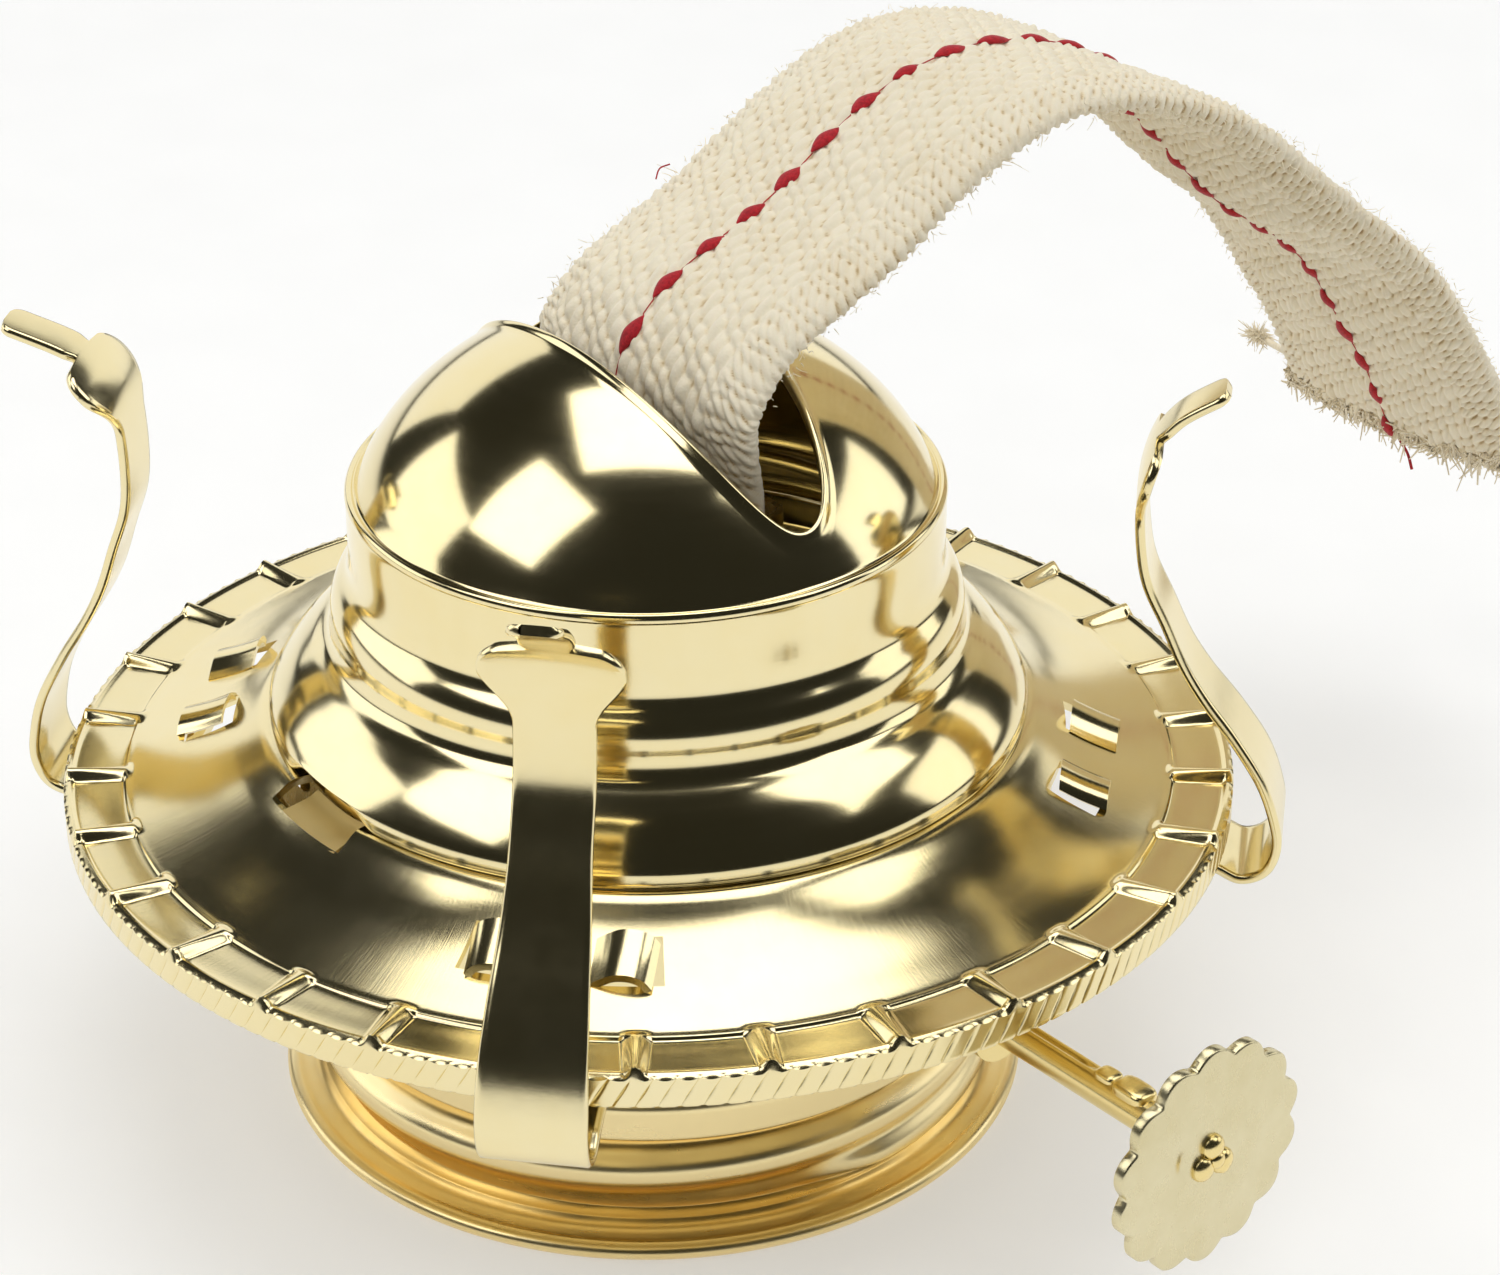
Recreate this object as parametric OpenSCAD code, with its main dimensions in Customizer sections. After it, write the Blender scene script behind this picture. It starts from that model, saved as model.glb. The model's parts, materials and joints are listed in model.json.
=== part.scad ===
// Flat-wick oil lamp burner with a chimney gallery, four spring prongs and a wick raiser.
// Millimetres, +Z up. The origin is the centre of the collar's bottom face, +X runs along the raiser
// shaft to the knob, and the wick leans towards +Y.

/* [Gallery] */
// Diameter across the knurled rim of the gallery plate
rim_d = 82; // [80:0.5:86]
// Diameter of the glass chimney's foot, which stands on the ribbed ring
chimney_d = 76.2; // [74:0.2:77]
// Number of ribs around the plate
rib_count = 30; // [20:2:36]
// Number of grooves in the rim's knurl
knurl_count = 180; // [120:10:200]
// Turn of the gallery about the collar, in degrees
gallery_turn = -4; // [-8:1:8]
// Thickness of the spun brass sheet
sheet_t = 0.6; // [0.5:0.05:0.7]

/* [Dome] */
// Radius of the dome's ball-shaped top
ball_r = 22.6; // [22:0.1:23]
// Height of the dome's top above the collar's bottom face
dome_top = 58; // [57:0.5:59]
// Half length of the flame slot
slot_half_l = 18; // [17:0.1:18.2]
// Half width of the flame slot
slot_half_w = 5.6; // [5:0.1:6]

/* [Prongs] */
// Thickness of the prong strip
prong_t = 0.65; // [0.5:0.05:0.8]
// Width of the strip under the head
prong_w = 5.1; // [4.8:0.1:6]
// Width of the strip at its bend under the rim
prong_foot_w = 7.2; // [6.5:0.1:8]
// Width across the two ears of the head
head_w = 8.9; // [8.4:0.1:10]

/* [Wick and raiser] */
// Width of the wick tape
wick_w = 24; // [20:0.5:24.2]
// Thickness of the wick tape
wick_t = 2.4; // [2:0.1:2.4]
// Diameter of the raiser shaft
shaft_d = 2.4; // [2:0.1:2.6]
// Diameter of the finger knob
knob_d = 16.4; // [14:0.2:18]
// Scallops around the knob
knob_scallops = 14; // [10:1:18]

/* [Collar] */
// Diameter inside the collar's thread
bore_d = 45.6; // [44:0.2:46]
// Diameter of the rolled flange at the collar's foot
flange_d = 53.6; // [52:0.2:55]

/* [Hidden] */
$fn = 64;

rim_r = rim_d / 2;
bore_r = bore_d / 2;
flange_r = flange_d / 2;
shaft_r = shaft_d / 2;
knob_r = knob_d / 2;

// Heights of the fixed levels
collar_top = 11.2;
disc_z = 9.8;
disc_t = 0.8;
disc_r = bore_r - 0.6;
rim_z = 25.1;
rim_drop = 2.3;
rib_top = 25.6;
foot_z = 29.5;

// Wick tube
tube_gap = 0.4;
tube_wall = 0.5;
tube_in = [wick_w + 2 * tube_gap, wick_t + 2 * tube_gap];
tube_out = [tube_in[0] + 2 * tube_wall, tube_in[1] + 2 * tube_wall];
tube_corner = 1;
tube_top = 48;

// Raiser: the spur teeth just reach the wick's face
shaft_pos = [4.4, 16];
spur_reach = 0.05;
spur_r = shaft_pos[0] - wick_t / 2 - spur_reach;
spur_t = 1;
spur_teeth = 12;
spur_x = [-7.5, -2.5, 2.5, 7.5];
cover_half_l = 11;
cover_gap = 0.6;
cover_r = spur_r + cover_gap;
running_gap = 0.05;
shaft_start = -10.6;
sleeve_x = [19, 31];
sleeve_r = 1.9;
washer_x = 31.6;
washer_t = 0.6;
key_x = [41, 46];
knob_x = 50.6;
knob_t = 1;
stake_t = 0.9;

// Air cup
cup_rim_r = 27.5;
cup_top = 27;
cup_holes = 24;

// Chimney seat and prongs, in degrees round the gallery
prong_turns = [45, 135, 225, 315];
ring_r = chimney_d / 2 - 1.2;
ring_z = 24.95;
lance_turn = 8;
lance_r = 31;
vent_turn = 270;
vent_w = 8.8;

// ---- outlines of sheet metal ----

function unit(v) = v / norm(v);
function left(v) = [-v[1], v[0]];
function flipped(list) = [for (i = [len(list) - 1 : -1 : 0]) list[i]];
function arc(centre, r, from, to, steps) =
    [for (i = [0 : steps]) centre + r * [cos(from + (to - from) * i / steps), sin(from + (to - from) * i / steps)]];

// Step sideways at point i of a path, mitred between its two neighbours
function sideways(path, i) =
    let (last = len(path) - 1)
    let (before = left(unit(i == 0 ? path[1] - path[0] : path[i] - path[i - 1])))
    let (after = left(unit(i == last ? path[last] - path[last - 1] : path[i + 1] - path[i])))
    let (middle = unit(before + after))
    middle / (middle * before);
function beside(path, d) = [for (i = [0 : len(path) - 1]) path[i] + d * sideways(path, i)];

// A sheet whose face is the path and whose thickness lies to the path's left (or right, if t is negative)
function sheet(path, t) = concat(path, flipped(beside(path, t)));
// A strip with the path along its middle
function strip(path, t) = concat(beside(path, t / 2), flipped(beside(path, -t / 2)));

// An oval made of four arcs, tangent where they meet
module oval(half_l, half_w, end_r) {
    end_x = half_l - end_r;
    side_r = (end_x * end_x + half_w * half_w - end_r * end_r) / (2 * (half_w - end_r));
    meet_x = end_x + end_r * end_x / (side_r - end_r);
    for (s = [-1, 1]) translate([s * end_x, 0]) circle(r = end_r);
    intersection() {
        translate([0, half_w - side_r]) circle(r = side_r, $fn = 128);
        translate([0, side_r - half_w]) circle(r = side_r, $fn = 128);
        square([2 * meet_x, 2 * half_w], center = true);
    }
}

// The outline of the flat tube, with round corners
module tape(size, corner) {
    half = [size[0] / 2 - corner, size[1] / 2 - corner];
    square([size[0], 2 * half[1]], center = true);
    square([2 * half[0], size[1]], center = true);
    for (sx = [-1, 1]) for (sy = [-1, 1]) translate([sx * half[0], sy * half[1]]) circle(r = corner);
}
module tube_outline() { tape(tube_out, tube_corner + tube_wall); }

// Puts children, drawn along +Z from 0, on the raiser's axis from x onwards
module on_shaft(x) {
    translate([x, shaft_pos[0], shaft_pos[1]]) rotate([0, 90, 0]) children();
}

// ---- lower body ----

// Cap with a rolled flange, one turn of rolled thread and a plain neck
module screw_collar() {
    neck_r = bore_r + 1.4;
    groove_r = bore_r + 0.6;
    bead_r = neck_r + 0.8;
    flange_edge = arc([flange_r - 0.6, 0.6], 0.6, -90, 90, 8);
    bead = arc([bead_r - 1.5, 5], 1.5, -75, 75, 10);
    color("#c07a1e") rotate_extrude($fn = 128) polygon(concat(
        [[bore_r, 0]],
        flange_edge,
        [[flange_r - 2.3, 1.3], [groove_r, 2], [groove_r, 3.2]],
        bead,
        [[neck_r, 6.9], [neck_r, collar_top - 0.8], [neck_r - 0.8, collar_top],
            [bore_r - 3, collar_top], [bore_r - 3, disc_z + disc_t], [disc_r, disc_z + disc_t],
            [disc_r, disc_z], [bore_r, disc_z]]
    ));
}

// Disc that closes the collar and carries the two tubes
module base_disc() {
    color("#b98a3a") difference() {
        translate([0, 0, disc_z]) cylinder(r = disc_r, h = disc_t, $fn = 128);
        translate([0, 0, disc_z - 1]) linear_extrude(3) tube_outline();
        translate([0, vent_y, disc_z - 1]) cylinder(r = vent_r, h = 3);
    }
}

// Perforated cup between the collar and the gallery, which lets the air in
module air_cup() {
    floor_z = collar_top + sheet_t / 2;
    side = cup_rim_r - sheet_t / 2;
    path = [[15.5, floor_z], [19, floor_z], [20.4, 12.8], [22.3, 17], [side - 0.9, 23.2],
        [side, 24.6], [side, cup_top]];
    color("#c9a24e") difference() {
        rotate_extrude($fn = 128) polygon(strip(path, sheet_t));
        for (i = [1 : cup_holes - 1]) rotate([0, 0, i * 360 / cup_holes + 10]) {
            translate([15, 0, 19]) rotate([0, 90, 0]) cylinder(r = 1.2, h = 15, $fn = 24);
            rotate([0, 0, 180 / cup_holes]) translate([15, 0, 22]) rotate([0, 90, 0])
                cylinder(r = 1.2, h = 15, $fn = 24);
        }
        on_shaft(sleeve_x[0]) cylinder(r = sleeve_r, h = sleeve_x[1] - sleeve_x[0]);
    }
}

// Flat tube that holds the wick, slotted for the spur wheels
module wick_tube() {
    slot_h = 2 * sqrt(spur_r * spur_r - pow(shaft_pos[0] - tube_in[1] / 2, 2)) + 1.4;
    color("#c9a24e") difference() {
        translate([0, 0, disc_z]) linear_extrude(tube_top - disc_z) difference() {
            tube_outline();
            tape(tube_in, tube_corner);
        }
        for (x = spur_x) translate([x - 0.9, 0.8, shaft_pos[1] - slot_h / 2]) cube([1.8, 2, slot_h]);
    }
}

vent_r = 1.9;
vent_y = -tube_out[1] / 2 - vent_r - 1;

// Small tube that lets air into the font
module vent_tube() {
    color("#c9a24e") translate([0, vent_y, disc_z]) difference() {
        cylinder(r = vent_r, h = 29);
        translate([0, 0, -1]) cylinder(r = vent_r - 0.4, h = 31);
    }
}

// Half-round housing over the spur wheels, closed at both ends round the shaft
module ratchet_cover() {
    face_y = tube_out[1] / 2;
    length = 2 * cover_half_l;
    color("#b98a3a") difference() {
        on_shaft(-cover_half_l) cylinder(r = cover_r + 0.5, h = length);
        on_shaft(-cover_half_l + 0.5) cylinder(r = cover_r, h = length - 1);
        on_shaft(-cover_half_l - 1) cylinder(r = shaft_r + running_gap, h = length + 2);
        translate([-20, face_y - 20, shaft_pos[1] - 20]) cube([40, 20, 40]);
    }
}

// Perforated disc round the tube, which spreads the air under the dome
module draft_screen() {
    color("#c9a24e") difference() {
        translate([0, 0, 33]) cylinder(r = 19, h = 0.6, $fn = 128);
        translate([0, 0, 32]) linear_extrude(3) tube_outline();
        translate([0, vent_y, 32]) cylinder(r = vent_r, h = 3);
        for (i = [0 : 27]) rotate([0, 0, i * 360 / 28]) translate([17, 0, 32]) cylinder(r = 0.9, h = 3, $fn = 24);
        for (i = [0 : 23]) rotate([0, 0, (i + 0.5) * 15]) translate([14.2, 0, 32]) {
            cylinder(r = 0.8, h = 3, $fn = 24);
        }
    }
}

// Short bearing tube through the cup's wall
module shaft_sleeve() {
    color("#c9a24e") on_shaft(sleeve_x[0]) difference() {
        cylinder(r = sleeve_r, h = sleeve_x[1] - sleeve_x[0]);
        translate([0, 0, -1]) cylinder(r = shaft_r + running_gap, h = sleeve_x[1] - sleeve_x[0] + 2);
    }
}

// ---- wick raiser ----

// Rolled shaft with a seam along its top, a flattened key and a staked end over the knob
module raiser_shaft() {
    key_l = key_x[1] - key_x[0];
    color("#b98a3a") difference() {
        union() {
            on_shaft(shaft_start) cylinder(r = shaft_r, h = knob_x + knob_t - shaft_start);
            on_shaft(knob_x + knob_t) cylinder(r1 = shaft_r + 0.55, r2 = shaft_r, h = stake_t);
            translate([key_x[0], shaft_pos[0] - 1.6, shaft_pos[1] - 0.6]) cube([key_l, 3.2, 1.3]);
        }
        translate([sleeve_x[1] + 1.5, shaft_pos[0] - 0.25, shaft_pos[1] + shaft_r - 0.45])
            cube([key_x[0] - sleeve_x[1] - 2, 0.5, 1]);
    }
}

// One toothed wheel that feeds the wick
module spur_wheel(x) {
    step = 180 / spur_teeth;
    points = [for (i = [0 : 2 * spur_teeth - 1])
        (i % 2 == 0 ? spur_r : spur_r - 0.7) * [cos(i * step), sin(i * step)]];
    color("#a87a30") on_shaft(x - spur_t / 2) linear_extrude(spur_t) difference() {
        polygon(points);
        circle(r = shaft_r);
    }
}
module spur_wheel_1() { spur_wheel(spur_x[0]); }
module spur_wheel_2() { spur_wheel(spur_x[1]); }
module spur_wheel_3() { spur_wheel(spur_x[2]); }
module spur_wheel_4() { spur_wheel(spur_x[3]); }

// Washer that stops the shaft from sliding into its sleeve
module shaft_washer() {
    color("#b98a3a") on_shaft(washer_x) difference() {
        cylinder(r = 2.6, h = washer_t);
        translate([0, 0, -1]) cylinder(r = shaft_r, h = washer_t + 2);
    }
}

// Thin finger disc with a scalloped edge
module knob() {
    color("#c9a24e") on_shaft(knob_x) difference() {
        cylinder(r = knob_r, h = knob_t, $fn = 128);
        translate([0, 0, -1]) cylinder(r = shaft_r, h = knob_t + 2);
        for (i = [0 : knob_scallops - 1]) rotate([0, 0, i * 360 / knob_scallops])
            translate([knob_r + 1.5, 0, -1]) cylinder(r = 1.9, h = knob_t + 2, $fn = 24);
        translate([0, -4.2, knob_t - 0.3]) cylinder(r = 0.7, h = 1);
    }
}

// ---- gallery ----

// Height of the plate's plain cone at a radius
function cone_z(r) = r < 29 ? foot_z - (r - 26.9) * 0.74 : 27.95 - (r - 29) * 0.45;

// A ridge across the flat ring, which carries the chimney's foot
module rib(turn) {
    start_r = ring_r - 0.5;
    rotate([0, 0, turn]) translate([start_r, 0, 0]) rotate([90, 0, 90]) linear_extrude(rim_r - 0.6 - start_r)
        polygon([[-1, 24.6], [-1, ring_z + 0.05], [-0.35, rib_top], [0.35, rib_top], [1, ring_z + 0.05], [1, 24.6]]);
}

// A lanced bridge beside a prong
module lance(turn) {
    rotate([0, 0, turn]) translate([lance_r, 0, cone_z(lance_r)]) rotate([0, 26.6, 0])
        intersection() {
            translate([-1.7, 0, 0]) rotate([0, 90, 0]) difference() {
                cylinder(r = 1.5, h = 3.4, $fn = 32);
                translate([0, 0, -1]) cylinder(r = 0.95, h = 6, $fn = 32);
            }
            translate([-3, -3, -0.3]) cube([6, 6, 3]);
        }
}

module lance_hole(turn, outward) {
    rotate([0, 0, turn]) translate([lance_r, 0, cone_z(lance_r)]) rotate([0, 26.6, 0])
        translate([-1.85, outward > 0 ? 0.2 : -3.2, -1.5]) cube([3.7, 3, 1.6]);
}

module vent_cut() {
    rotate([0, 0, vent_turn]) translate([24.9, -vent_w / 2, foot_z - 3]) cube([3.3, vent_w, 4.2]);
}

// Ribbed tray with a knurled rim turned down, a socket round the cup and a lug over each prong's root
module gallery_plate() {
    top_face = [[24.6, foot_z], [26.9, foot_z], [29, 27.95], [32, 26.6], [35, 25.65], [ring_r - 0.2, 25.2],
        [ring_r, ring_z], [rim_r - 0.9, ring_z], [rim_r - 0.3, rim_z], [rim_r - 0.3, rim_z - rim_drop]];
    knurl = [for (i = [0 : 2 * knurl_count - 1])
        (rim_r - (i % 2 == 0 ? 0 : 0.2)) * [cos(i * 180 / knurl_count), sin(i * 180 / knurl_count)]];
    socket_r = cup_rim_r + 0.3;
    color("#d9bd72") rotate([0, 0, gallery_turn]) {
        difference() {
            union() {
                rotate_extrude($fn = 128) polygon(sheet(top_face, -sheet_t));
                rotate_extrude($fn = 128) polygon([[socket_r, 22], [socket_r + sheet_t, 22],
                    [socket_r + sheet_t, 28], [socket_r, 28.3]]);
                for (i = [0 : rib_count - 1]) rib(i * 360 / rib_count);
                for (turn = prong_turns) rotate([0, 0, turn])
                    translate([34.5, 0, 22.6]) cylinder(r = 1.2, h = 2.8, $fn = 32);
            }
            for (turn = prong_turns) for (s = [-1, 1]) lance_hole(turn + s * lance_turn, s);
            vent_cut();
        }
        for (turn = prong_turns) for (s = [-1, 1]) lance(turn + s * lance_turn);
        translate([0, 0, rim_z - rim_drop]) linear_extrude(rim_drop - 0.3) difference() {
            polygon(knurl);
            circle(r = rim_r - 0.5, $fn = 128);
        }
    }
}

// Shell between two balls with the dome top's centre, from a level upwards
module ball_shell(outer_r, inner_r, from_z) {
    translate([0, 0, dome_top - ball_r]) difference() {
        sphere(r = outer_r);
        sphere(r = inner_r);
        translate([0, 0, from_z - dome_top + ball_r - 60]) cube(120, center = true);
    }
}

// Spun dome with two stepped bands, a ball-shaped top and the flame slot with its raised lip
module dome() {
    t = 0.5;
    lip_h = 0.35;
    band_top = 46.2;
    skirt = [[26.5, foot_z], [26.5, 30.3], [26, 31.4], [25, 32.4], [24, 33.8], [22.4, 35.1], [21.9, 36],
        [21.9, 37.6], [21.6, 38.8], [20.8, 40], [20.5, 41], [20.5, 45.6]];
    bead = [[20.6, 46], [20.4, 46.4], [20, 46.5], [19.1, 46.5], [19.1, 45.8]];
    color("#e0c67e") rotate([0, 0, gallery_turn]) difference() {
        union() {
            rotate_extrude($fn = 128) polygon(concat(skirt, bead, flipped(beside(skirt, t))));
            ball_shell(ball_r, ball_r - t, band_top);
            intersection() {
                ball_shell(ball_r + lip_h, ball_r - t / 2, band_top);
                translate([0, 0, 44]) linear_extrude(18) oval(slot_half_l + 0.6, slot_half_w + 0.6, 4);
            }
        }
        translate([0, 0, 43]) linear_extrude(20) oval(slot_half_l, slot_half_w, 3.4);
        vent_cut();
    }
}

// ---- prongs ----

prong_path = concat(
    [[33, 22], [37, 21.6], [40, 20.8]],
    arc([41.8, 22.4], 2.5, -95, -10, 6),
    [[44, 24.8], [43, 27.6], [41, 30.8], [39, 33.5], [37.5, 36], [36.2, 39], [34.9, 42], [34.4, 45], [34.3, 48.5]],
    [[34.5, 50.2], [35.1, 51.7], [36.1, 53], [37.3, 54.1], [39.8, 55.6]]
);

module prong_face() {
    ear_r = 2.1;
    ear_y = head_w / 2 - ear_r;
    polygon([[-prong_foot_w / 2, 18], [prong_foot_w / 2, 18], [prong_foot_w / 2, 26], [prong_w / 2, 44],
        [prong_w / 2, 52], [-prong_w / 2, 52], [-prong_w / 2, 44], [-prong_foot_w / 2, 26]]);
    for (s = [-1, 1]) translate([s * ear_y, 51.4]) circle(r = ear_r, $fn = 32);
    translate([-2, 51]) square([4, 3.2]);
    translate([0, 54]) circle(r = 2, $fn = 32);
}

// One spring prong: root under the plate, bend round the rim, neck that grips the chimney, curled head
module prong(turn) {
    color("#d2b160") rotate([0, 0, gallery_turn + turn]) intersection() {
        rotate([90, 0, 0]) linear_extrude(head_w + 2, center = true) polygon(strip(prong_path, prong_t));
        rotate([90, 0, 90]) linear_extrude(60) prong_face();
    }
}
module prong_1() { prong(prong_turns[0]); }
module prong_2() { prong(prong_turns[1]); }
module prong_3() { prong(prong_turns[2]); }
module prong_4() { prong(prong_turns[3]); }

// ---- wick ----

// Cotton tape: straight in the tube, arched over the dome's edge and hanging beside the gallery
module wick() {
    route = [[0, 10], [0, 48.4], [-0.9, 51.4], [-1.4, 54.2], [-0.2, 56.6], [2.4, 58.9], [5.8, 60.5], [9.6, 62],
        [12.9, 63.6], [16.2, 65.6], [19.6, 67.4], [23.1, 68.6], [27, 69.2], [30.7, 69.1], [34.8, 68.3],
        [39.1, 66.7], [43.8, 64], [48.1, 60.4], [52, 56.3], [56, 52.6], [60, 49.9], [63.6, 47.3],
        [66.6, 44.4], [69, 41.2], [71.3, 37.8], [73.9, 34.2], [76.1, 30.4], [78.4, 26]];
    color("#e6dcc4") rotate([90, 0, 90]) linear_extrude(wick_w, center = true) polygon(strip(route, wick_t));
}

screw_collar();
base_disc();
air_cup();
wick_tube();
vent_tube();
ratchet_cover();
draft_screen();
shaft_sleeve();
raiser_shaft();
spur_wheel_1();
spur_wheel_2();
spur_wheel_3();
spur_wheel_4();
shaft_washer();
knob();
gallery_plate();
dome();
prong_1();
prong_2();
prong_3();
prong_4();
wick();
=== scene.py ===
"""A brass flat-wick oil lamp burner: the looks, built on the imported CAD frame.

Sizes are in millimetres and angles in degrees until a mesh is made; Blender's own values are in metres.
"""
import json
import math

import bmesh
import bpy
import numpy as np
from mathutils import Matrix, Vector


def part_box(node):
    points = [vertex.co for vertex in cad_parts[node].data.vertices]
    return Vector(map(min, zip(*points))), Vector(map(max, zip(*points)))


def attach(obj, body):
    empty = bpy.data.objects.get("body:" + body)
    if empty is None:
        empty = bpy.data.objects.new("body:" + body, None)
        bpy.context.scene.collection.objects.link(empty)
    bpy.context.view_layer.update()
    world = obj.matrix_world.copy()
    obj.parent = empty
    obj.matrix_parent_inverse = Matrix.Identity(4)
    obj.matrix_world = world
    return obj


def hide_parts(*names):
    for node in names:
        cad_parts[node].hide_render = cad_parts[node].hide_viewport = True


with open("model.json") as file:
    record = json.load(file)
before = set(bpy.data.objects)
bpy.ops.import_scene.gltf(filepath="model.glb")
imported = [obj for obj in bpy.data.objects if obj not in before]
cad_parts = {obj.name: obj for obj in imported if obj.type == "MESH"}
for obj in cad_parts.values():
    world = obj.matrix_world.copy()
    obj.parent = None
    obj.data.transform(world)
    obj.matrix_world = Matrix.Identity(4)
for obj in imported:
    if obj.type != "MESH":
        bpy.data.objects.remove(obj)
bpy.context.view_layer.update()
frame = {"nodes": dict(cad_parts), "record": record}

MM = 0.001
POINT_R = 0.01  # radius that stands for a point where a round row closes
rng = np.random.default_rng(7)


# ---- sizes that come from the frame ----

def node_box(name):
    """Lowest and highest corner of a CAD node, in millimetres."""
    low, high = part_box(name)
    return np.array(low) / MM, np.array(high) / MM


def joint(name):
    """A joint's entry in the record."""
    return next(j for j in frame["record"]["behaviour"]["joints"] if j["name"] == name)


def joint_turn(name):
    """Angle about the upright axis at which a joint stands."""
    x, y = joint(name)["pos_m"][:2]
    return math.degrees(math.atan2(y, x))


PRONG_NODES = [f"prong_{i}" for i in range(1, 5)]
PRONG_TURNS = [joint_turn(f"prong_flex_{i}") for i in range(1, 5)]
PRONG_ROOT = np.array([34.5, 22.0])
FIRST_PRONG_IN_GALLERY = 45.0
GALLERY_TURN = PRONG_TURNS[0] - FIRST_PRONG_IN_GALLERY

RIM_R = node_box("gallery_plate")[1][1]
DOME_FOOT_Z = node_box("dome")[0][2]
SHAFT_Y, SHAFT_Z = (v / MM for v in joint("raiser_turn")["pos_m"][1:])
KNOB_LOW, KNOB_HIGH = node_box("knob")
FLANGE_R = node_box("screw_collar")[1][0]
COLLAR_TOP = node_box("screw_collar")[1][2]
SHAFT_START = node_box("raiser_shaft")[0][0]
WICK_HALF_W = node_box("wick")[1][0]


# ---- small helpers for shapes ----

def smooth(low, high, value):
    """0 below low, 1 above high and an S-shaped rise between."""
    t = np.clip((value - low) / (high - low), 0.0, 1.0)
    return t * t * (3.0 - 2.0 * t)


def spline(points, per_span):
    """A Catmull-Rom curve through the points, with per_span steps between neighbours."""
    p = np.asarray(points, float)
    ends = np.vstack([2 * p[0] - p[1], p, 2 * p[-1] - p[-2]])
    t = np.linspace(0.0, 1.0, per_span, endpoint=False)[:, None]
    spans = []
    for a, b, c, d in zip(ends[:-3], ends[1:-2], ends[2:-1], ends[3:]):
        spans.append(0.5 * (2 * b + (c - a) * t + (2 * a - 5 * b + 4 * c - d) * t**2
                            + (3 * b - a - 3 * c + d) * t**3))
    return np.vstack(spans + [p[-1:]])


def even(points, step):
    """The same route with its points about one step apart."""
    gaps = np.linalg.norm(np.diff(points, axis=0), axis=1)
    along = np.concatenate([[0.0], np.cumsum(gaps)])
    places = np.linspace(0.0, along[-1], max(2, round(along[-1] / step) + 1))
    return np.stack([np.interp(places, along, points[:, k]) for k in range(points.shape[1])], 1), places


def unit(vectors):
    """The same directions, one long."""
    return vectors / np.linalg.norm(vectors, axis=-1, keepdims=True)


def normals_2d(path):
    """Unit vectors to the left of a 2D path."""
    tangent = unit(np.gradient(path, axis=0))
    return np.stack([-tangent[:, 1], tangent[:, 0]], 1)


def angle_from(start, degrees):
    """Angles counted from a start, between -180 and 180."""
    return (degrees - start + 180.0) % 360.0 - 180.0


def turned(points, degrees):
    """Points turned about the burner's upright axis."""
    a = math.radians(degrees)
    x, y, z = points[..., 0], points[..., 1], points[..., 2]
    return np.stack([x * math.cos(a) - y * math.sin(a), x * math.sin(a) + y * math.cos(a), z], -1)


def round_about(r, z, degrees):
    """Points at radius r and height z for each angle."""
    a = np.radians(degrees)
    return np.stack([r * np.cos(a), r * np.sin(a), z + 0.0 * a], -1)


def grid_quads(rows, columns, close_rows=False, close_columns=False):
    """Quads between neighbouring points of a grid, numbered row by row."""
    i = np.arange(rows if close_rows else rows - 1)[:, None]
    j = np.arange(columns if close_columns else columns - 1)[None, :]
    i2, j2 = (i + 1) % rows, (j + 1) % columns
    quads = [i * columns + j, i * columns + j2, i2 * columns + j2, i2 * columns + j]
    return np.stack([np.broadcast_to(q, (i.size, j.size)) for q in quads], -1).reshape(-1, 4)


def slab_quads(keep, ring):
    """Quads of a two-sided sheet: both faces of each kept cell, and a wall along every edge of the kept area.

    The upper face's points come first, row by row, and the under face's follow in the same order."""
    rows, cells = keep.shape
    columns = cells if ring else cells + 1
    under = (rows + 1) * columns
    i, j = np.nonzero(keep)
    right = (j + 1) % columns
    corners = [i * columns + j, i * columns + right, (i + 1) * columns + right, (i + 1) * columns + j]
    padded = np.pad(keep, 1)
    if ring:
        padded[1:-1, 0], padded[1:-1, -1] = keep[:, -1], keep[:, 0]
    neighbours = [padded[i, j + 1], padded[i + 1, j + 2], padded[i + 2, j + 1], padded[i + 1, j]]
    quads = [np.stack(corners, 1), np.stack(corners[::-1], 1) + under]
    for side, neighbour in enumerate(neighbours):
        a, b = corners[side][~neighbour], corners[(side + 1) % 4][~neighbour]
        quads.append(np.stack([a, b, b + under, a + under], 1))
    return np.vstack(quads)


def two_faces(upper, under):
    """The points of both faces of a sheet, in the order that slab_quads counts them."""
    return np.vstack([upper.reshape(-1, 3), under.reshape(-1, 3)])


def end_caps(rows, count, last, steps):
    """Quads that close both ends of a swept section; last is the section's point opposite its first."""
    return [[start + k, start + k + 1, start + last - 1 - k, start + last - k]
            for start in (0, (rows - 1) * count) for k in range(steps)]


def make_mesh(name, points, faces, material, sharp_degrees=None, painted_shade=None):
    """A mesh object from points in millimetres, with outward normals and smooth shading.

    The last argument says how much painted shade each point takes: painted shade between the yarns, and
    painted reflection and shade in the thread's groove."""
    mesh = bpy.data.meshes.new(name)
    mesh.from_pydata((np.asarray(points, float).reshape(-1, 3) * MM).tolist(), [], np.asarray(faces).tolist())
    if painted_shade is not None:
        mesh.attributes.new("painted_shade", "FLOAT", "POINT").data.foreach_set("value", painted_shade.astype(np.float32))
    work = bmesh.new()
    work.from_mesh(mesh)
    bmesh.ops.remove_doubles(work, verts=work.verts, dist=1e-7)
    bmesh.ops.recalc_face_normals(work, faces=work.faces)
    for face in work.faces:
        face.smooth = True
    if sharp_degrees is not None:
        for edge in work.edges:
            if len(edge.link_faces) == 2 and edge.calc_face_angle() > math.radians(sharp_degrees):
                edge.smooth = False
    work.to_mesh(mesh)
    work.free()
    mesh.materials.append(material)
    piece = bpy.data.objects.new(name, mesh)
    bpy.context.scene.collection.objects.link(piece)
    return piece


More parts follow.
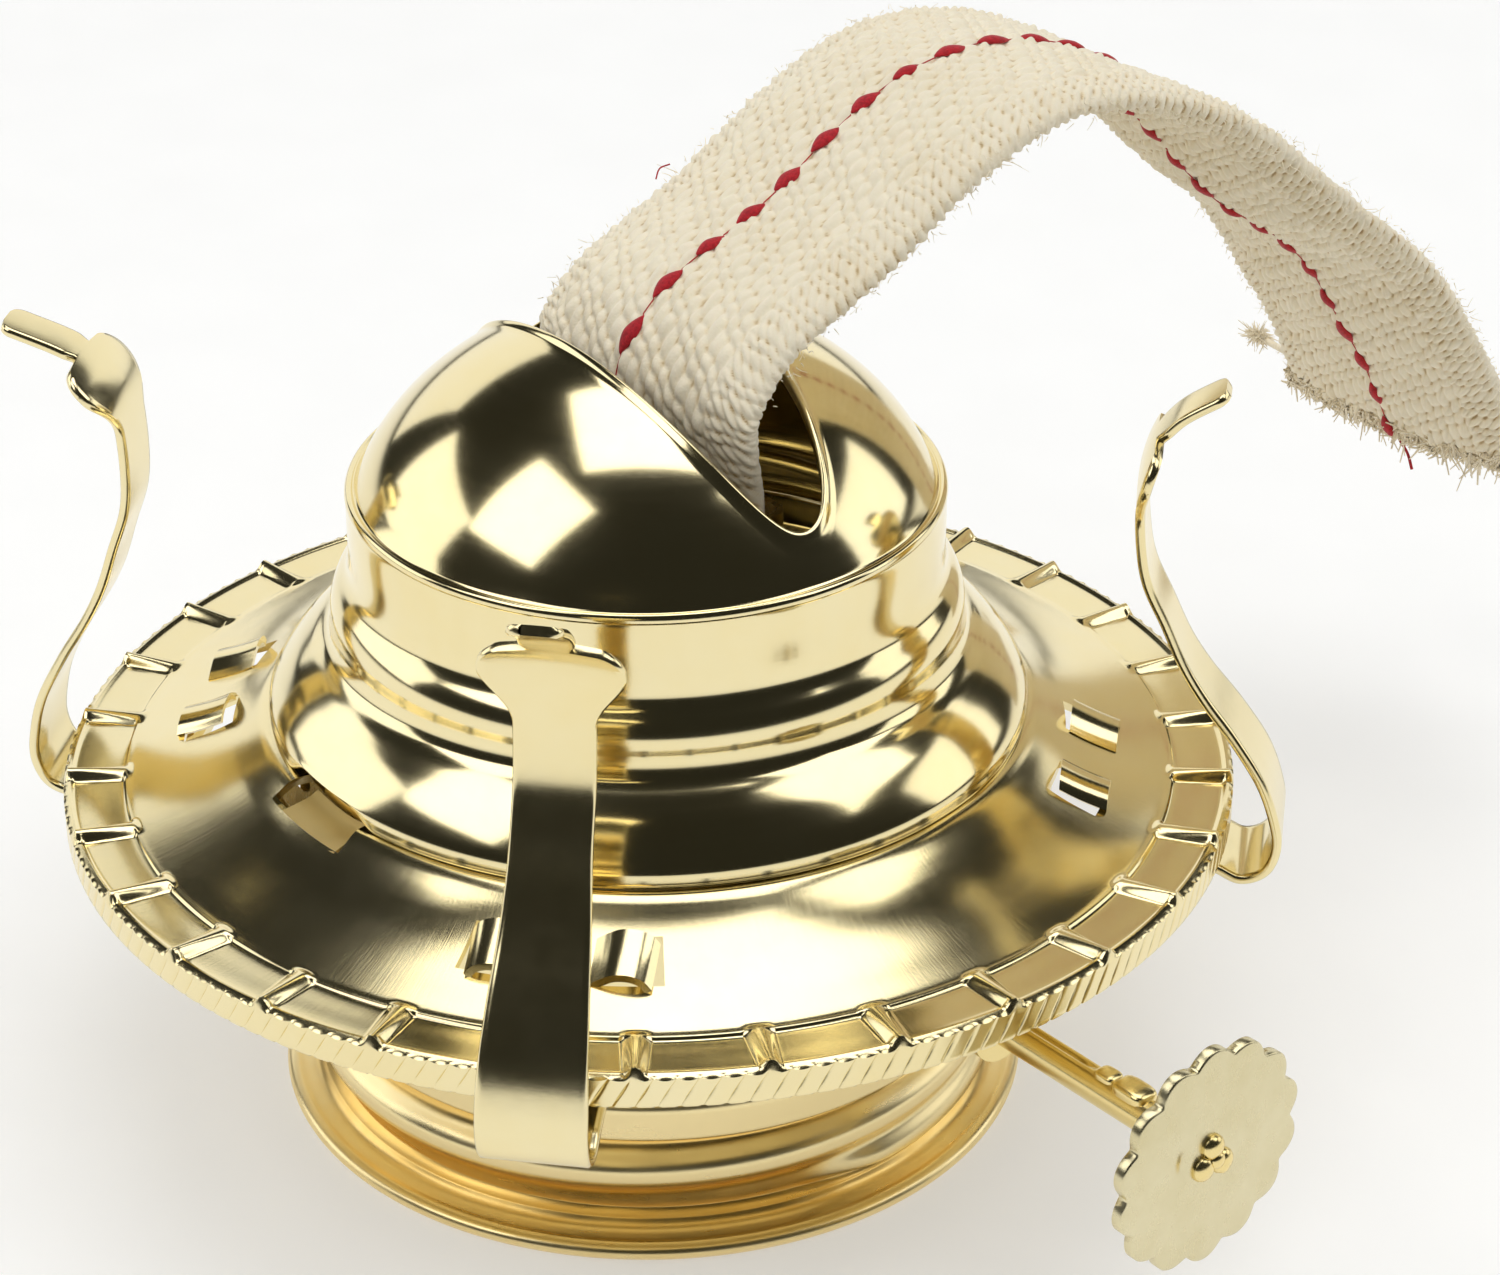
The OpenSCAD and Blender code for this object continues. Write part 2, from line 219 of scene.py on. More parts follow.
def joined(parts):
    """One list of points and one of faces from several (points, quads) pairs."""
    points, faces, start = [], [], 0
    for part_points, part_faces in parts:
        part_points = np.asarray(part_points, float).reshape(-1, 3)
        points.append(part_points)
        faces.append(np.asarray(part_faces) + start)
        start += len(part_points)
    return np.vstack(points), np.vstack(faces)


def settle(piece, body, slot, *nodes):
    """The piece rides on a body and stands for its CAD nodes; slot is not used."""
    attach(piece, body)
    if nodes:
        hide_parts(*nodes)
    return piece


# ---- materials ----

class Nodes:
    """A short way to write a material's node tree."""

    def __init__(self, name):
        self.material = bpy.data.materials.new(name)
        self.material.use_nodes = True
        self.tree = self.material.node_tree
        self.shader = self.tree.nodes["Principled BSDF"]

    def add(self, kind, **values):
        node = self.tree.nodes.new(kind)
        for key, value in values.items():
            if hasattr(node, key):
                setattr(node, key, value)
            else:
                node.inputs[key.replace("_", " ")].default_value = value
        return node

    def give(self, socket, value):
        """Links a source to a socket, or sets the socket to a plain value."""
        if isinstance(value, bpy.types.NodeSocket):
            self.tree.links.new(value, socket)
        else:
            socket.default_value = value

    def shade(self, **values):
        """Gives the shader's inputs their sources or values; an underscore in a name stands for a space."""
        for key, value in values.items():
            self.give(self.shader.inputs[key.replace("_", " ")], value)

    def math(self, operation, a, b=None):
        node = self.add("ShaderNodeMath", operation=operation)
        self.give(node.inputs[0], a)
        if b is not None:
            self.give(node.inputs[1], b)
        return node.outputs[0]

    def noise(self, vector, scale, detail, roughness):
        node = self.add("ShaderNodeTexNoise", Scale=scale, Detail=detail, Roughness=roughness)
        self.give(node.inputs["Vector"], vector)
        return node.outputs["Fac"]

    def between(self, factor, low, high):
        """Maps a 0 to 1 factor onto low to high."""
        node = self.add("ShaderNodeMapRange", To_Min=low, To_Max=high)
        self.give(node.inputs["Value"], factor)
        return node.outputs["Result"]

    def ramp(self, factor, stops):
        node = self.tree.nodes.new("ShaderNodeValToRGB")
        while len(node.color_ramp.elements) < len(stops):
            node.color_ramp.elements.new(0.5)
        for element, (place, colour) in zip(node.color_ramp.elements, stops):
            element.position = place
            element.color = (*colour, 1.0)
        self.give(node.inputs["Fac"], factor)
        return node.outputs["Color"]

    def bump(self, height, distance, strength, normal=None):
        node = self.add("ShaderNodeBump", Strength=strength, Distance=distance)
        self.give(node.inputs["Height"], height)
        if normal is not None:
            self.give(node.inputs["Normal"], normal)
        return node.outputs["Normal"]


def spun_coordinates(nodes, around, outward, upward):
    """Object coordinates unrolled about the upright axis and stretched, so that noise runs in lines."""
    coordinates = nodes.add("ShaderNodeTexCoord")
    split = nodes.add("ShaderNodeSeparateXYZ")
    nodes.give(split.inputs[0], coordinates.outputs["Object"])
    x, y, z = split.outputs
    radius = nodes.math("SQRT", nodes.math("ADD", nodes.math("MULTIPLY", x, x), nodes.math("MULTIPLY", y, y)))
    angle = nodes.math("ARCTAN2", y, x)
    join = nodes.add("ShaderNodeCombineXYZ")
    for socket, source, stretch in zip(join.inputs, (angle, radius, z), (around, outward, upward)):
        nodes.give(socket, nodes.math("MULTIPLY", source, stretch))
    return join.outputs[0]


def object_coordinates(nodes):
    return nodes.add("ShaderNodeTexCoord").outputs["Object"]


def brass(name, light, deep, roughness, lines, line_depth, speckle_depth, tarnish=0.25):
    """Lacquered brass sheet. Its lines are brush or lathe marks: (around, outward, upward) stretches."""
    nodes = Nodes(name)
    flat = object_coordinates(nodes)
    brushed = nodes.noise(spun_coordinates(nodes, *lines), 1.0, 3.0, 0.6)
    cloud = nodes.noise(flat, 55.0, 3.0, 0.55)
    speckle = nodes.noise(flat, 5200.0, 1.0, 0.5)
    blotch = nodes.noise(flat, 420.0, 4.0, 0.6)
    mixed = nodes.math("ADD", nodes.math("MULTIPLY", cloud, 0.7), nodes.math("MULTIPLY", blotch, 0.3))
    colour = nodes.ramp(mixed, [(0.5 - tarnish, deep), (0.5 + tarnish, light)])
    wear = nodes.math("ADD", nodes.math("MULTIPLY", brushed, 0.6), nodes.math("MULTIPLY", blotch, 0.4))
    rough = nodes.between(wear, *roughness)
    normal = nodes.bump(speckle, speckle_depth, 1.0, nodes.bump(brushed, line_depth, 1.0))
    nodes.shade(Base_Color=colour, Metallic=1.0, Roughness=rough, Normal=normal)
    return nodes.material


# Each finish has the tone of its polished places and of its tarnish; the collar has three tones in bands, its
# deep orange being painted reflection and shade in its grooves.
PALE, PALE_DEEP = (0.89, 0.79, 0.50), (0.87, 0.73, 0.38)
MID, MID_DEEP = (0.90, 0.75, 0.37), (0.84, 0.65, 0.27)
DULL, DULL_DEEP = (0.78, 0.71, 0.48), (0.67, 0.59, 0.35)
SATIN, WARM, PAINTED_GROOVE_ORANGE = (0.95, 0.79, 0.43), (0.95, 0.72, 0.31), (0.96, 0.63, 0.18)

# How finely the marks repeat around the burner, outwards and upwards: long marks have small numbers.
RADIAL_LINES = (420.0, 90.0, 90.0)
LATHE_LINES = (1.5, 2200.0, 2200.0)
SLIT_LINES = (40.0, 400.0, 1600.0)
STAMPED_LINES = (60.0, 500.0, 500.0)
DRAWN_LINES = (900.0, 60.0, 900.0)

dome_brass = brass("polished_dome_brass", PALE, PALE_DEEP, (0.08, 0.16), LATHE_LINES, 4e-7, 8e-7)
plate_brass = brass("brushed_plate_brass", PALE, PALE_DEEP, (0.09, 0.21), RADIAL_LINES, 2.2e-6, 1.2e-6)
rim_brass = brass("knurled_rim_brass", PALE, PALE_DEEP, (0.14, 0.26), RADIAL_LINES, 1e-6, 1e-6)
prong_brass = brass("prong_spring_brass", PALE, PALE_DEEP, (0.11, 0.24), SLIT_LINES, 8e-7, 1.4e-6)
knob_brass = brass("stamped_knob_brass", DULL, DULL_DEEP, (0.20, 0.36), STAMPED_LINES, 1.5e-6, 1.2e-6,
                   tarnish=0.14)
raiser_brass = brass("rolled_raiser_brass", MID, MID_DEEP, (0.14, 0.30), DRAWN_LINES, 1.5e-6, 1e-6)
flap_brass = brass("folded_flap_brass", WARM, MID_DEEP, (0.36, 0.52), RADIAL_LINES, 2e-6, 2e-6)
inner_brass = brass("inner_brass", MID, MID_DEEP, (0.18, 0.36), LATHE_LINES, 1.2e-6, 1e-6)


def satin_collar():
    """Spun brass that was not polished, pale and milky on its crests; the deep orange in its grooves is
    painted reflection and shade, set by a per-point attribute.
    """
    nodes = Nodes("satin_collar_brass")
    flat = object_coordinates(nodes)
    lathe = nodes.noise(spun_coordinates(nodes, 2.5, 1300.0, 1300.0), 1.0, 2.0, 0.5)
    blotch = nodes.noise(flat, 420.0, 4.0, 0.6)
    speckle = nodes.noise(flat, 5200.0, 1.0, 0.5)
    painted_shade = nodes.add("ShaderNodeAttribute", attribute_name="painted_shade").outputs["Fac"]
    uneven = nodes.math("MULTIPLY", nodes.math("SUBTRACT", blotch, 0.5), 0.45)
    # Painted reflection and shade: the grooves are coloured deep orange and the crests stay pale, with some
    # random unevenness.
    colour = nodes.ramp(nodes.math("ADD", painted_shade, uneven), [(0.1, SATIN), (0.5, WARM), (0.95, PAINTED_GROOVE_ORANGE)])
    rough = nodes.between(nodes.math("ADD", lathe, uneven), 0.2, 0.42)
    normal = nodes.bump(speckle, 2e-6, 1.0, nodes.bump(lathe, 1.2e-6, 1.0))
    nodes.shade(Base_Color=colour, Metallic=1.0, Roughness=rough, Normal=normal)
    return nodes.material


collar_brass = satin_collar()


# Cotton tones, cream to tan, then brown stops that are painted shade for the hollows between the yarns.
COTTON_TONES_AND_PAINTED_SHADE = [
    (0.0, (0.90, 0.82, 0.64)),
    (0.3, (0.84, 0.73, 0.52)),
    (0.65, (0.60, 0.46, 0.26)),
    (1.0, (0.42, 0.28, 0.13)),
]


def cotton():
    """Cream cotton yarn with painted shade, tan to brown, in the hollows between the yarns, and fine fibres
    along them.
    """
    nodes = Nodes("wick_cotton")
    flat = object_coordinates(nodes)
    painted_shade = nodes.add("ShaderNodeAttribute", attribute_name="painted_shade").outputs["Fac"]
    fibre = nodes.noise(flat, 5200.0, 4.0, 0.65)
    cloud = nodes.noise(flat, 160.0, 3.0, 0.6)
    # Painted shade in the hollows, mixed with cotton tone that varies at random.
    shade = nodes.math("ADD", painted_shade, nodes.math("MULTIPLY", nodes.math("SUBTRACT", cloud, 0.5), 0.5))
    shade = nodes.math("ADD", shade, nodes.math("MULTIPLY", nodes.math("SUBTRACT", fibre, 0.5), 0.35))
    colour = nodes.ramp(shade, COTTON_TONES_AND_PAINTED_SHADE)
    nodes.shade(Base_Color=colour, Roughness=0.95, Sheen_Weight=0.25, Normal=nodes.bump(fibre, 6e-5, 0.9),
                Subsurface_Weight=0.08, Subsurface_Radius=(0.0012, 0.0009, 0.0006))
    return nodes.material


def yarn(name, light, deep, sheen):
    """Plain thread or loose fibre with streaks of tone."""
    nodes = Nodes(name)
    streak = nodes.noise(object_coordinates(nodes), 4200.0, 3.0, 0.6)
    colour = nodes.ramp(streak, [(0.3, deep), (0.7, light)])
    nodes.shade(Base_Color=colour, Roughness=0.85, Sheen_Weight=sheen, Normal=nodes.bump(streak, 5e-5, 0.8))
    return nodes.material


wick_cotton = cotton()
red_thread = yarn("red_stitch_thread", (0.56, 0.012, 0.022), (0.28, 0.004, 0.010), 0.15)
loose_cotton = yarn("loose_cotton_fibre", (0.96, 0.89, 0.73), (0.88, 0.77, 0.56), 0.3)


# ---- gallery plate ----

SHEET_T = 0.6
RIB_COUNT = 30
RIB_PITCH = 360.0 / RIB_COUNT
RIB_START = 36.4
RIB_HALF_W = (1.1, 0.75)
RIB_TOP_Z = (25.42, 25.68)
PLATE_BORE_R = 24.6
LIP_R = 40.7
LUG_R, LUG_LOW_Z, LUG_HIGH_Z = 1.2, 22.5, 25.2
SOCKET_IN, SOCKET_OUT = 27.8, 28.4
LANCE_R, LANCE_HALF_L = 30.95, 1.75
LANCE_NEAR, LANCE_FAR = 2.4, 6.5
LANCE_ARCH = [(2.1, -0.15), (2.4, 0.05), (2.8, 0.3), (3.6, 0.68), (4.6, 0.74), (5.4, 0.46), (5.9, -0.1)]
VENT_TURN = 270.0
VENT_HALF = 8.85
VENT_IN, VENT_OUT = 25.2, 28.3

PLATE_PROFILE = spline([
    (PLATE_BORE_R, 29.5), (26.3, 29.5), (27.0, 29.3), (28.0, 28.6), (29.2, 27.85), (30.6, 27.15),
    (32.0, 26.6), (33.5, 26.1), (35.0, 25.65), (36.2, 25.3), (36.7, 25.2), (36.95, 24.98), (38.5, 24.95),
    (40.15, 24.95), (40.45, 25.12), (LIP_R, 25.05)], 6)


def cone_height(r):
    """Height of the plate's upper face before its ridges are raised."""
    return np.interp(r, PLATE_PROFILE[:, 0], PLATE_PROFILE[:, 1])


def plate_height(r, turn):
    """Height of the plate's upper face: a cone, then a flat ring crossed by ridges that lift the lip."""
    base = cone_height(r)
    from_rib = np.abs((turn + RIB_PITCH / 2) % RIB_PITCH - RIB_PITCH / 2)
    half = np.interp(r, [RIB_START, LIP_R], RIB_HALF_W)
    across = np.clip(np.radians(from_rib) * r / half, 0.0, 1.0)
    ridge = (1.0 - across**2) ** 1.5
    crest = np.interp(r, [RIB_START, LIP_R], RIB_TOP_Z)
    return base + ridge * np.maximum(crest - base, 0.0) * smooth(RIB_START - 0.4, RIB_START + 0.3, r)


def lance_sides():
    """Each lance's place in the gallery: its prong's turn, and the side it is on."""
    for index in range(4):
        for side in (-1.0, 1.0):
            yield FIRST_PRONG_IN_GALLERY + 90.0 * index, side


def on_cone(turn, across, r, lift):
    """A point beside a gallery angle: across is along the tangent, lift is above the cone's face."""
    a = math.radians(turn)
    x = r * math.cos(a) - across * math.sin(a)
    y = r * math.sin(a) + across * math.cos(a)
    return np.stack([x, y, cone_height(r) + lift + 0 * r], -1)


def plate_sheet():
    """The sheet itself, open at the lances and at the vent."""
    near, far = (math.degrees(v / LANCE_R) for v in (LANCE_NEAR, LANCE_FAR))
    offsets = np.concatenate([np.arange(-2.0, 2.01, 0.2), np.arange(2.75, 9.6, 0.75)])
    turns = {round((rib * RIB_PITCH + offset) % 360.0, 4) for rib in range(RIB_COUNT) for offset in offsets}
    for turn, side in lance_sides():
        turns |= {round((turn + side * edge) % 360.0, 4) for edge in (near, far)}
    turns |= {VENT_TURN - VENT_HALF, VENT_TURN + VENT_HALF}
    turns = np.array(sorted(turns))
    hole_r = [LANCE_R - LANCE_HALF_L, LANCE_R + LANCE_HALF_L, VENT_IN, VENT_OUT]
    radii = np.unique(np.round(np.concatenate([
        np.arange(PLATE_BORE_R, 35.8, 0.4), np.arange(35.8, 37.4, 0.1), np.arange(37.4, 40.0, 0.4),
        np.arange(40.0, LIP_R, 0.1), [LIP_R], hole_r]), 4))
    middle_r = (radii[1:] + radii[:-1]) / 2
    middle_turn = (turns + np.roll(turns, -1)) / 2
    middle_turn[-1] = (turns[-1] + turns[0] + 360.0) / 2 % 360.0
    keep = np.ones((middle_r.size, turns.size), bool)
    in_lance = (middle_r > hole_r[0]) & (middle_r < hole_r[1])
    for turn, side in lance_sides():
        offset = angle_from(turn, middle_turn) * side
        keep &= ~(in_lance[:, None] & ((offset > near) & (offset < far))[None, :])
    in_vent = (middle_r > VENT_IN) & (middle_r < VENT_OUT)
    keep &= ~(in_vent[:, None] & (np.abs(middle_turn - VENT_TURN) < VENT_HALF)[None, :])
    r, turn = np.meshgrid(radii, turns, indexing="ij")
    top = plate_height(r, turn)
    upper = round_about(r, top, turn)
    under = round_about(r, top - SHEET_T, turn)
    return two_faces(upper, under), slab_quads(keep, True)


def lance_tab(turn, side):
    """The tab struck up beside a prong: it rises from the sheet and curls back down over the hole."""
    across = spline(LANCE_ARCH, 5)
    offset = normals_2d(across) * (SHEET_T * 0.42)
    loop = np.vstack([across + offset, (across - offset)[::-1]])
    radii = LANCE_R + np.linspace(-LANCE_HALF_L + 0.2, LANCE_HALF_L, 6)
    rows = [on_cone(turn, side * loop[:, 0], r + 0.0 * loop[:, 0], loop[:, 1]) for r in radii]
    quads = grid_quads(len(rows), len(loop), close_columns=True)
    caps = end_caps(len(rows), len(loop), len(loop) - 1, len(across) - 1)
    return np.vstack(rows), np.vstack([quads, caps])


def vent_tab():
    """The flap folded down inside the vent, short of its left end and curled up at its right end."""
    turns = VENT_TURN + np.linspace(-VENT_HALF + 3.2, VENT_HALF - 0.6, 12)
    path = spline([(VENT_OUT + 0.1, 27.95), (VENT_OUT - 0.9, 28.2), (VENT_OUT - 2.0, 28.45),
                   (VENT_IN + 0.2, 28.9)], 4)
    offset = normals_2d(path) * 0.22
    curl = 0.2 * smooth(VENT_TURN + VENT_HALF * 0.45, VENT_TURN + VENT_HALF, turns)
    upper = np.stack([round_about(r, z + curl, turns) for r, z in path + offset])
    under = np.stack([round_about(r, z + curl, turns) for r, z in path - offset])
    keep = np.ones((len(path) - 1, len(turns) - 1), bool)
    return two_faces(upper, under), slab_quads(keep, False)


def socket_ring():
    """The plain ring under the plate that grips the cup."""
    ring = np.array([(SOCKET_IN, 22.0), (SOCKET_OUT, 22.0), (SOCKET_OUT, 28.0), (SOCKET_IN, 28.2)])
    turns = np.arange(0.0, 360.0, 2.0)
    return np.stack([round_about(r, z, turns) for r, z in ring]), grid_quads(4, turns.size, True, True)


def root_lug(turn):
    """The round-ended stud under the plate that a prong's root is fixed to."""
    centre = round_about(PRONG_ROOT[:1], 0.0, np.array([turn]))[0]
    steps = np.arange(0.0, 360.0, 30.0)
    outline = [(POINT_R, LUG_HIGH_Z), (LUG_R, LUG_HIGH_Z), (LUG_R, LUG_LOW_Z + 0.6), (0.5, LUG_LOW_Z + 0.1),
               (POINT_R, LUG_LOW_Z)]
    rows = [centre + round_about(r, z, steps) for r, z in outline]
    return np.vstack(rows), grid_quads(len(rows), steps.size, False, True)


def make_plate():
    parts = [plate_sheet(), socket_ring()]
    parts += [lance_tab(turn, side) for turn, side in lance_sides()]
    parts += [root_lug(FIRST_PRONG_IN_GALLERY + 90.0 * index) for index in range(4)]
    points, faces = joined(parts)
    plate = make_mesh("gallery_tray", turned(points, GALLERY_TURN), faces, plate_brass, sharp_degrees=42.0)
    settle(plate, "gallery", "gallery_brass", "gallery_plate")
    flap_points, flap_faces = vent_tab()
    flap_points = turned(flap_points, GALLERY_TURN)
    flap = make_mesh("vent_flap", flap_points, flap_faces, flap_brass, sharp_degrees=42.0)
    settle(flap, "gallery", "gallery_brass", "gallery_plate")


# ---- knurled rim ----

KNURL_COUNT = 180
KNURL_SLANT = 0.85
KNURL_DEPTH = 0.11
BAND_LOW, BAND_HIGH = 22.95, 25.0
SCOOP = 0.17
NOTCH = 0.24


def make_rim():
    """The turned-down edge: scooped facets between narrow slanted grooves, notched along the bottom."""
    phases = np.array([0.0, 0.06, 0.13, 0.25, 0.4, 0.55, 0.7, 0.82, 0.94])
    cells = np.arange(KNURL_COUNT)[:, None] + phases[None, :]
    phase = np.broadcast_to(phases[None, :], cells.shape).ravel()
    pitch = 360.0 / KNURL_COUNT
    turns = cells.ravel() * pitch
    groove = np.exp(-((np.minimum(phase, 1.0 - phase) / 0.06) ** 2))
    lip = plate_height(LIP_R, turns + KNURL_SLANT * pitch)
    edge = BAND_HIGH - SCOOP * np.sin(np.pi * phase)

    def ring(r, z, slant):
        return round_about(r, z, turns + slant * KNURL_SLANT * pitch)

    rows = [ring(LIP_R - 0.1, lip - 0.12, 1.0), ring(LIP_R, lip, 1.0)]
    for t in (0.3, 0.6, 0.85):
        rows.append(ring(LIP_R + (RIM_R - LIP_R) * t, lip + (edge - lip) * t**1.4, 1.0))
    for t in np.linspace(1.0, 0.0, 7):
        low = BAND_LOW + 0.0 * edge
        cut = KNURL_DEPTH * groove * (0.35 + 0.65 * math.sin(math.pi * t))
        rows.append(ring(RIM_R - cut, low + (edge - low) * t, t))
    rows.append(ring(RIM_R - 0.07 - KNURL_DEPTH * groove, BAND_LOW - 0.12 + NOTCH * groove, 0.0))
    rows.append(ring(RIM_R - 0.3, BAND_LOW - 0.15 + NOTCH * groove, 0.0))
    rows.append(ring(RIM_R - 0.5, BAND_LOW + NOTCH * groove, 0.0))
    behind = [(RIM_R - 0.6, 23.4), (RIM_R - 0.6, 24.4), (LIP_R - 0.6, 24.5)]
    rows += [ring(r, z + 0.0 * groove, 0.0) for r, z in behind]
    faces = grid_quads(len(rows), turns.size, True, True)
    rim = make_mesh("knurled_rim", turned(np.stack(rows), GALLERY_TURN), faces, rim_brass, sharp_degrees=35.0)
    return settle(rim, "gallery", "gallery_brass", "gallery_plate")


# ---- dome ----

DOME_T = 0.5
CAP_R, CAP_LOW_Z, CAP_HIGH_Z, CAP_POWER = 20.88, 41.06, 57.95, 1.98
CAP_EDGE_R = 19.75
CAP_INNER_EDGE_R = 19.2
SLOT_HALF_L, SLOT_HALF_W, SLOT_POWER = 18.06, 5.6, 2.15
# The slot's rolled lip: how far out from the slot's edge, and how far above the cap's face.
SLOT_LIP = [(0.0, -0.75), (0.0, -0.1), (0.07, 0.2), (0.26, 0.34), (0.46, 0.24), (0.64, 0.06), (0.95, 0.0)]
# The dome below its cap: the bead, the two stepped bands and the flared foot, as radius and height.
DOME_SKIRT = [
    (19.8, 46.38), (19.93, 46.28), (20.08, 46.36), (20.28, 46.4), (20.46, 46.26), (20.55, 45.95),
    (20.5, 45.5), (20.5, 43.5), (20.5, 41.2), (20.75, 40.0), (21.5, 38.9), (21.88, 37.8), (21.9, 36.4),
    (22.3, 35.3), (23.3, 34.5), (24.4, 33.5), (25.35, 32.4), (26.0, 31.5), (26.38, 30.8), (26.5, 30.2),
    (26.5, 29.8), (26.3, DOME_FOOT_Z + 0.05)]


def cap_height(r, inward):
    """Height of the dome's top face at a radius, or of a face that lies inward of it."""
    rise = np.clip(1.0 - (r / (CAP_R - inward)) ** CAP_POWER, 0.0, 1.0) ** (1.0 / CAP_POWER)
    return CAP_LOW_Z + (CAP_HIGH_Z - inward - CAP_LOW_Z) * rise


def make_dome():
    """The slot's rolled lip, the ball-shaped top, the two stepped bands and the inner face behind them."""
    turns = np.arange(0.0, 360.0, 0.5)
    a = np.radians(turns)
    edge_r = ((np.abs(np.cos(a)) / SLOT_HALF_L) ** SLOT_POWER
              + (np.abs(np.sin(a)) / SLOT_HALF_W) ** SLOT_POWER) ** (-1.0 / SLOT_POWER)
    edge = np.stack([edge_r * np.cos(a), edge_r * np.sin(a)], 1)
    along = np.roll(edge, -1, 0) - np.roll(edge, 1, 0)
    outward = unit(np.stack([along[:, 1], -along[:, 0]], 1))
    circle = np.stack([np.cos(a), np.sin(a)], 1)

    def on_cap(xy, inward=0.0, lift=0.0):
        return np.column_stack([xy, cap_height(np.linalg.norm(xy, axis=1), inward) + lift])

    lip = spline(SLOT_LIP, 3)
    rows = [on_cap(edge + outward * d, 0.0, h) for d, h in lip]
    lip_end = edge + outward * lip[-1, 0]
    for t in np.linspace(0.0, 1.0, 34)[1:]:
        rows.append(on_cap(lip_end * (1 - t) + circle * CAP_EDGE_R * t))
    skirt = spline(DOME_SKIRT, 5)
    raised = np.exp(-(angle_from(VENT_TURN, turns) / (VENT_HALF + 0.8)) ** 6)

    def skirt_row(r, z):
        foot = 1.0 - smooth(DOME_FOOT_Z, 31.2, z)
        return round_about(r - 0.25 * raised * foot, z + 1.1 * raised * foot, turns)

    rows += [skirt_row(r, z) for r, z in skirt]
    inner = (skirt + normals_2d(skirt) * -DOME_T)[::-1]
    inner = inner[inner[:, 1] < 45.4]
    rows += [skirt_row(r, z) for r, z in inner]
    for t in np.linspace(1.0, 0.0, 16):
        rows.append(on_cap(lip_end * (1 - t) + circle * CAP_INNER_EDGE_R * t, DOME_T))
    faces = grid_quads(len(rows), turns.size, True, True)
    dome = make_mesh("slotted_dome", turned(np.stack(rows), GALLERY_TURN), faces, dome_brass)
    return settle(dome, "gallery", "dome_brass", "dome")


# ---- prongs ----

PRONG_T = 0.65
PRONG_BEND = [(33.0, 22.0), (37.0, 21.6), (40.0, 20.8), (41.9, 19.95), (43.6, 20.7), (44.3, 22.6),
              (44.0, 24.8), (43.0, 27.6), (41.0, 30.8), (39.0, 33.5), (37.5, 36.0), (36.2, 39.0),
              (34.9, 42.0), (34.4, 45.0), (34.3, 48.5)]
HEAD_UPRIGHT = [(34.5, 50.2), (35.1, 51.7), (36.1, 53.0), (37.3, 54.1), (39.8, 55.6)]
HEAD_LYING = [(34.6, 50.2), (35.5, 51.7), (36.8, 52.9), (38.4, 53.9), (42.0, 55.5)]
PRONG_HEADS = [HEAD_UPRIGHT, HEAD_UPRIGHT, HEAD_LYING, HEAD_UPRIGHT]
PRONG_LEANS = [-1.3, 0.0, 4.5, 0.0]
PRONG_SHIFTS = [0.0, 0.0, 0.0, 0.65]
FOOT_HALF, SHANK_HALF, EAR_HALF, TONGUE_HALF = 3.55, 2.6, 4.6, 1.75
TONGUE_L, EAR_WIDEST, EAR_END = 5.7, 7.9, 11.8
TONGUE_CORNER, EAR_CORNER = 0.9, 1.9


def prong_half_width(from_tip, length):
    """Half the strip's width: a tongue, a notch, two round ears that taper to the shank, and a wider foot."""
    corner = np.clip((TONGUE_CORNER - from_tip) / TONGUE_CORNER, 0.0, 1.0)
    tongue = TONGUE_HALF - TONGUE_CORNER * (1.0 - np.sqrt(1.0 - corner**2))
    tongue = tongue - 0.3 * smooth(TONGUE_L - 1.0, TONGUE_L, from_tip)
    corner = np.clip((TONGUE_L + EAR_CORNER - from_tip) / EAR_CORNER, 0.0, 1.0)
    ear_top = EAR_HALF - EAR_CORNER * (1.0 - np.sqrt(1.0 - corner**2))
    taper = SHANK_HALF + (EAR_HALF - SHANK_HALF) * (1.0 - smooth(EAR_WIDEST, EAR_END, from_tip))
    shank = taper + (FOOT_HALF - SHANK_HALF) * smooth(18.0, length - 14.0, from_tip)
    return np.where(from_tip < TONGUE_L, tongue, np.minimum(ear_top, shank))


def leaned(points, degrees):
    """A prong's route turned outwards about its root."""
    a = math.radians(-degrees)
    turn = np.array([[math.cos(a), -math.sin(a)], [math.sin(a), math.cos(a)]])
    return (np.asarray(points, float) - PRONG_ROOT) @ turn.T + PRONG_ROOT


def prong_points(head, lean):
    """One prong in its own plane: radius, across and height, as a closed section swept along the strip."""
    path, places = even(leaned(spline(PRONG_BEND + head, 12), lean), 0.16)
    across_normal = normals_2d(path)
    length = places[-1]
    half = prong_half_width(length - places, length)
    spread = np.linspace(-1.0, 1.0, 19)
    corner = 0.16
    rows = []
    for (r, z), (nr, nz), w, place in zip(path, across_normal, half, places):
        face = spread * max(w - corner, 0.01)
        high, low = PRONG_T / 2, PRONG_T / 2 - corner
        section = [(u, high) for u in face] + [(w, low), (w, -low)]
        section += [(u, -high) for u in face[::-1]] + [(-w, -low), (-w, low)]
        section = np.array(section)
        at_head = float(smooth(length - 12.0, length - 8.0, place))
        curl = -0.4 * at_head * (np.abs(section[:, 0]) / EAR_HALF) ** 2.2
        lift = section[:, 1] + curl
        rows.append(np.stack([r + nr * lift, section[:, 0], z + nz * lift], 1))
    return np.stack(rows)


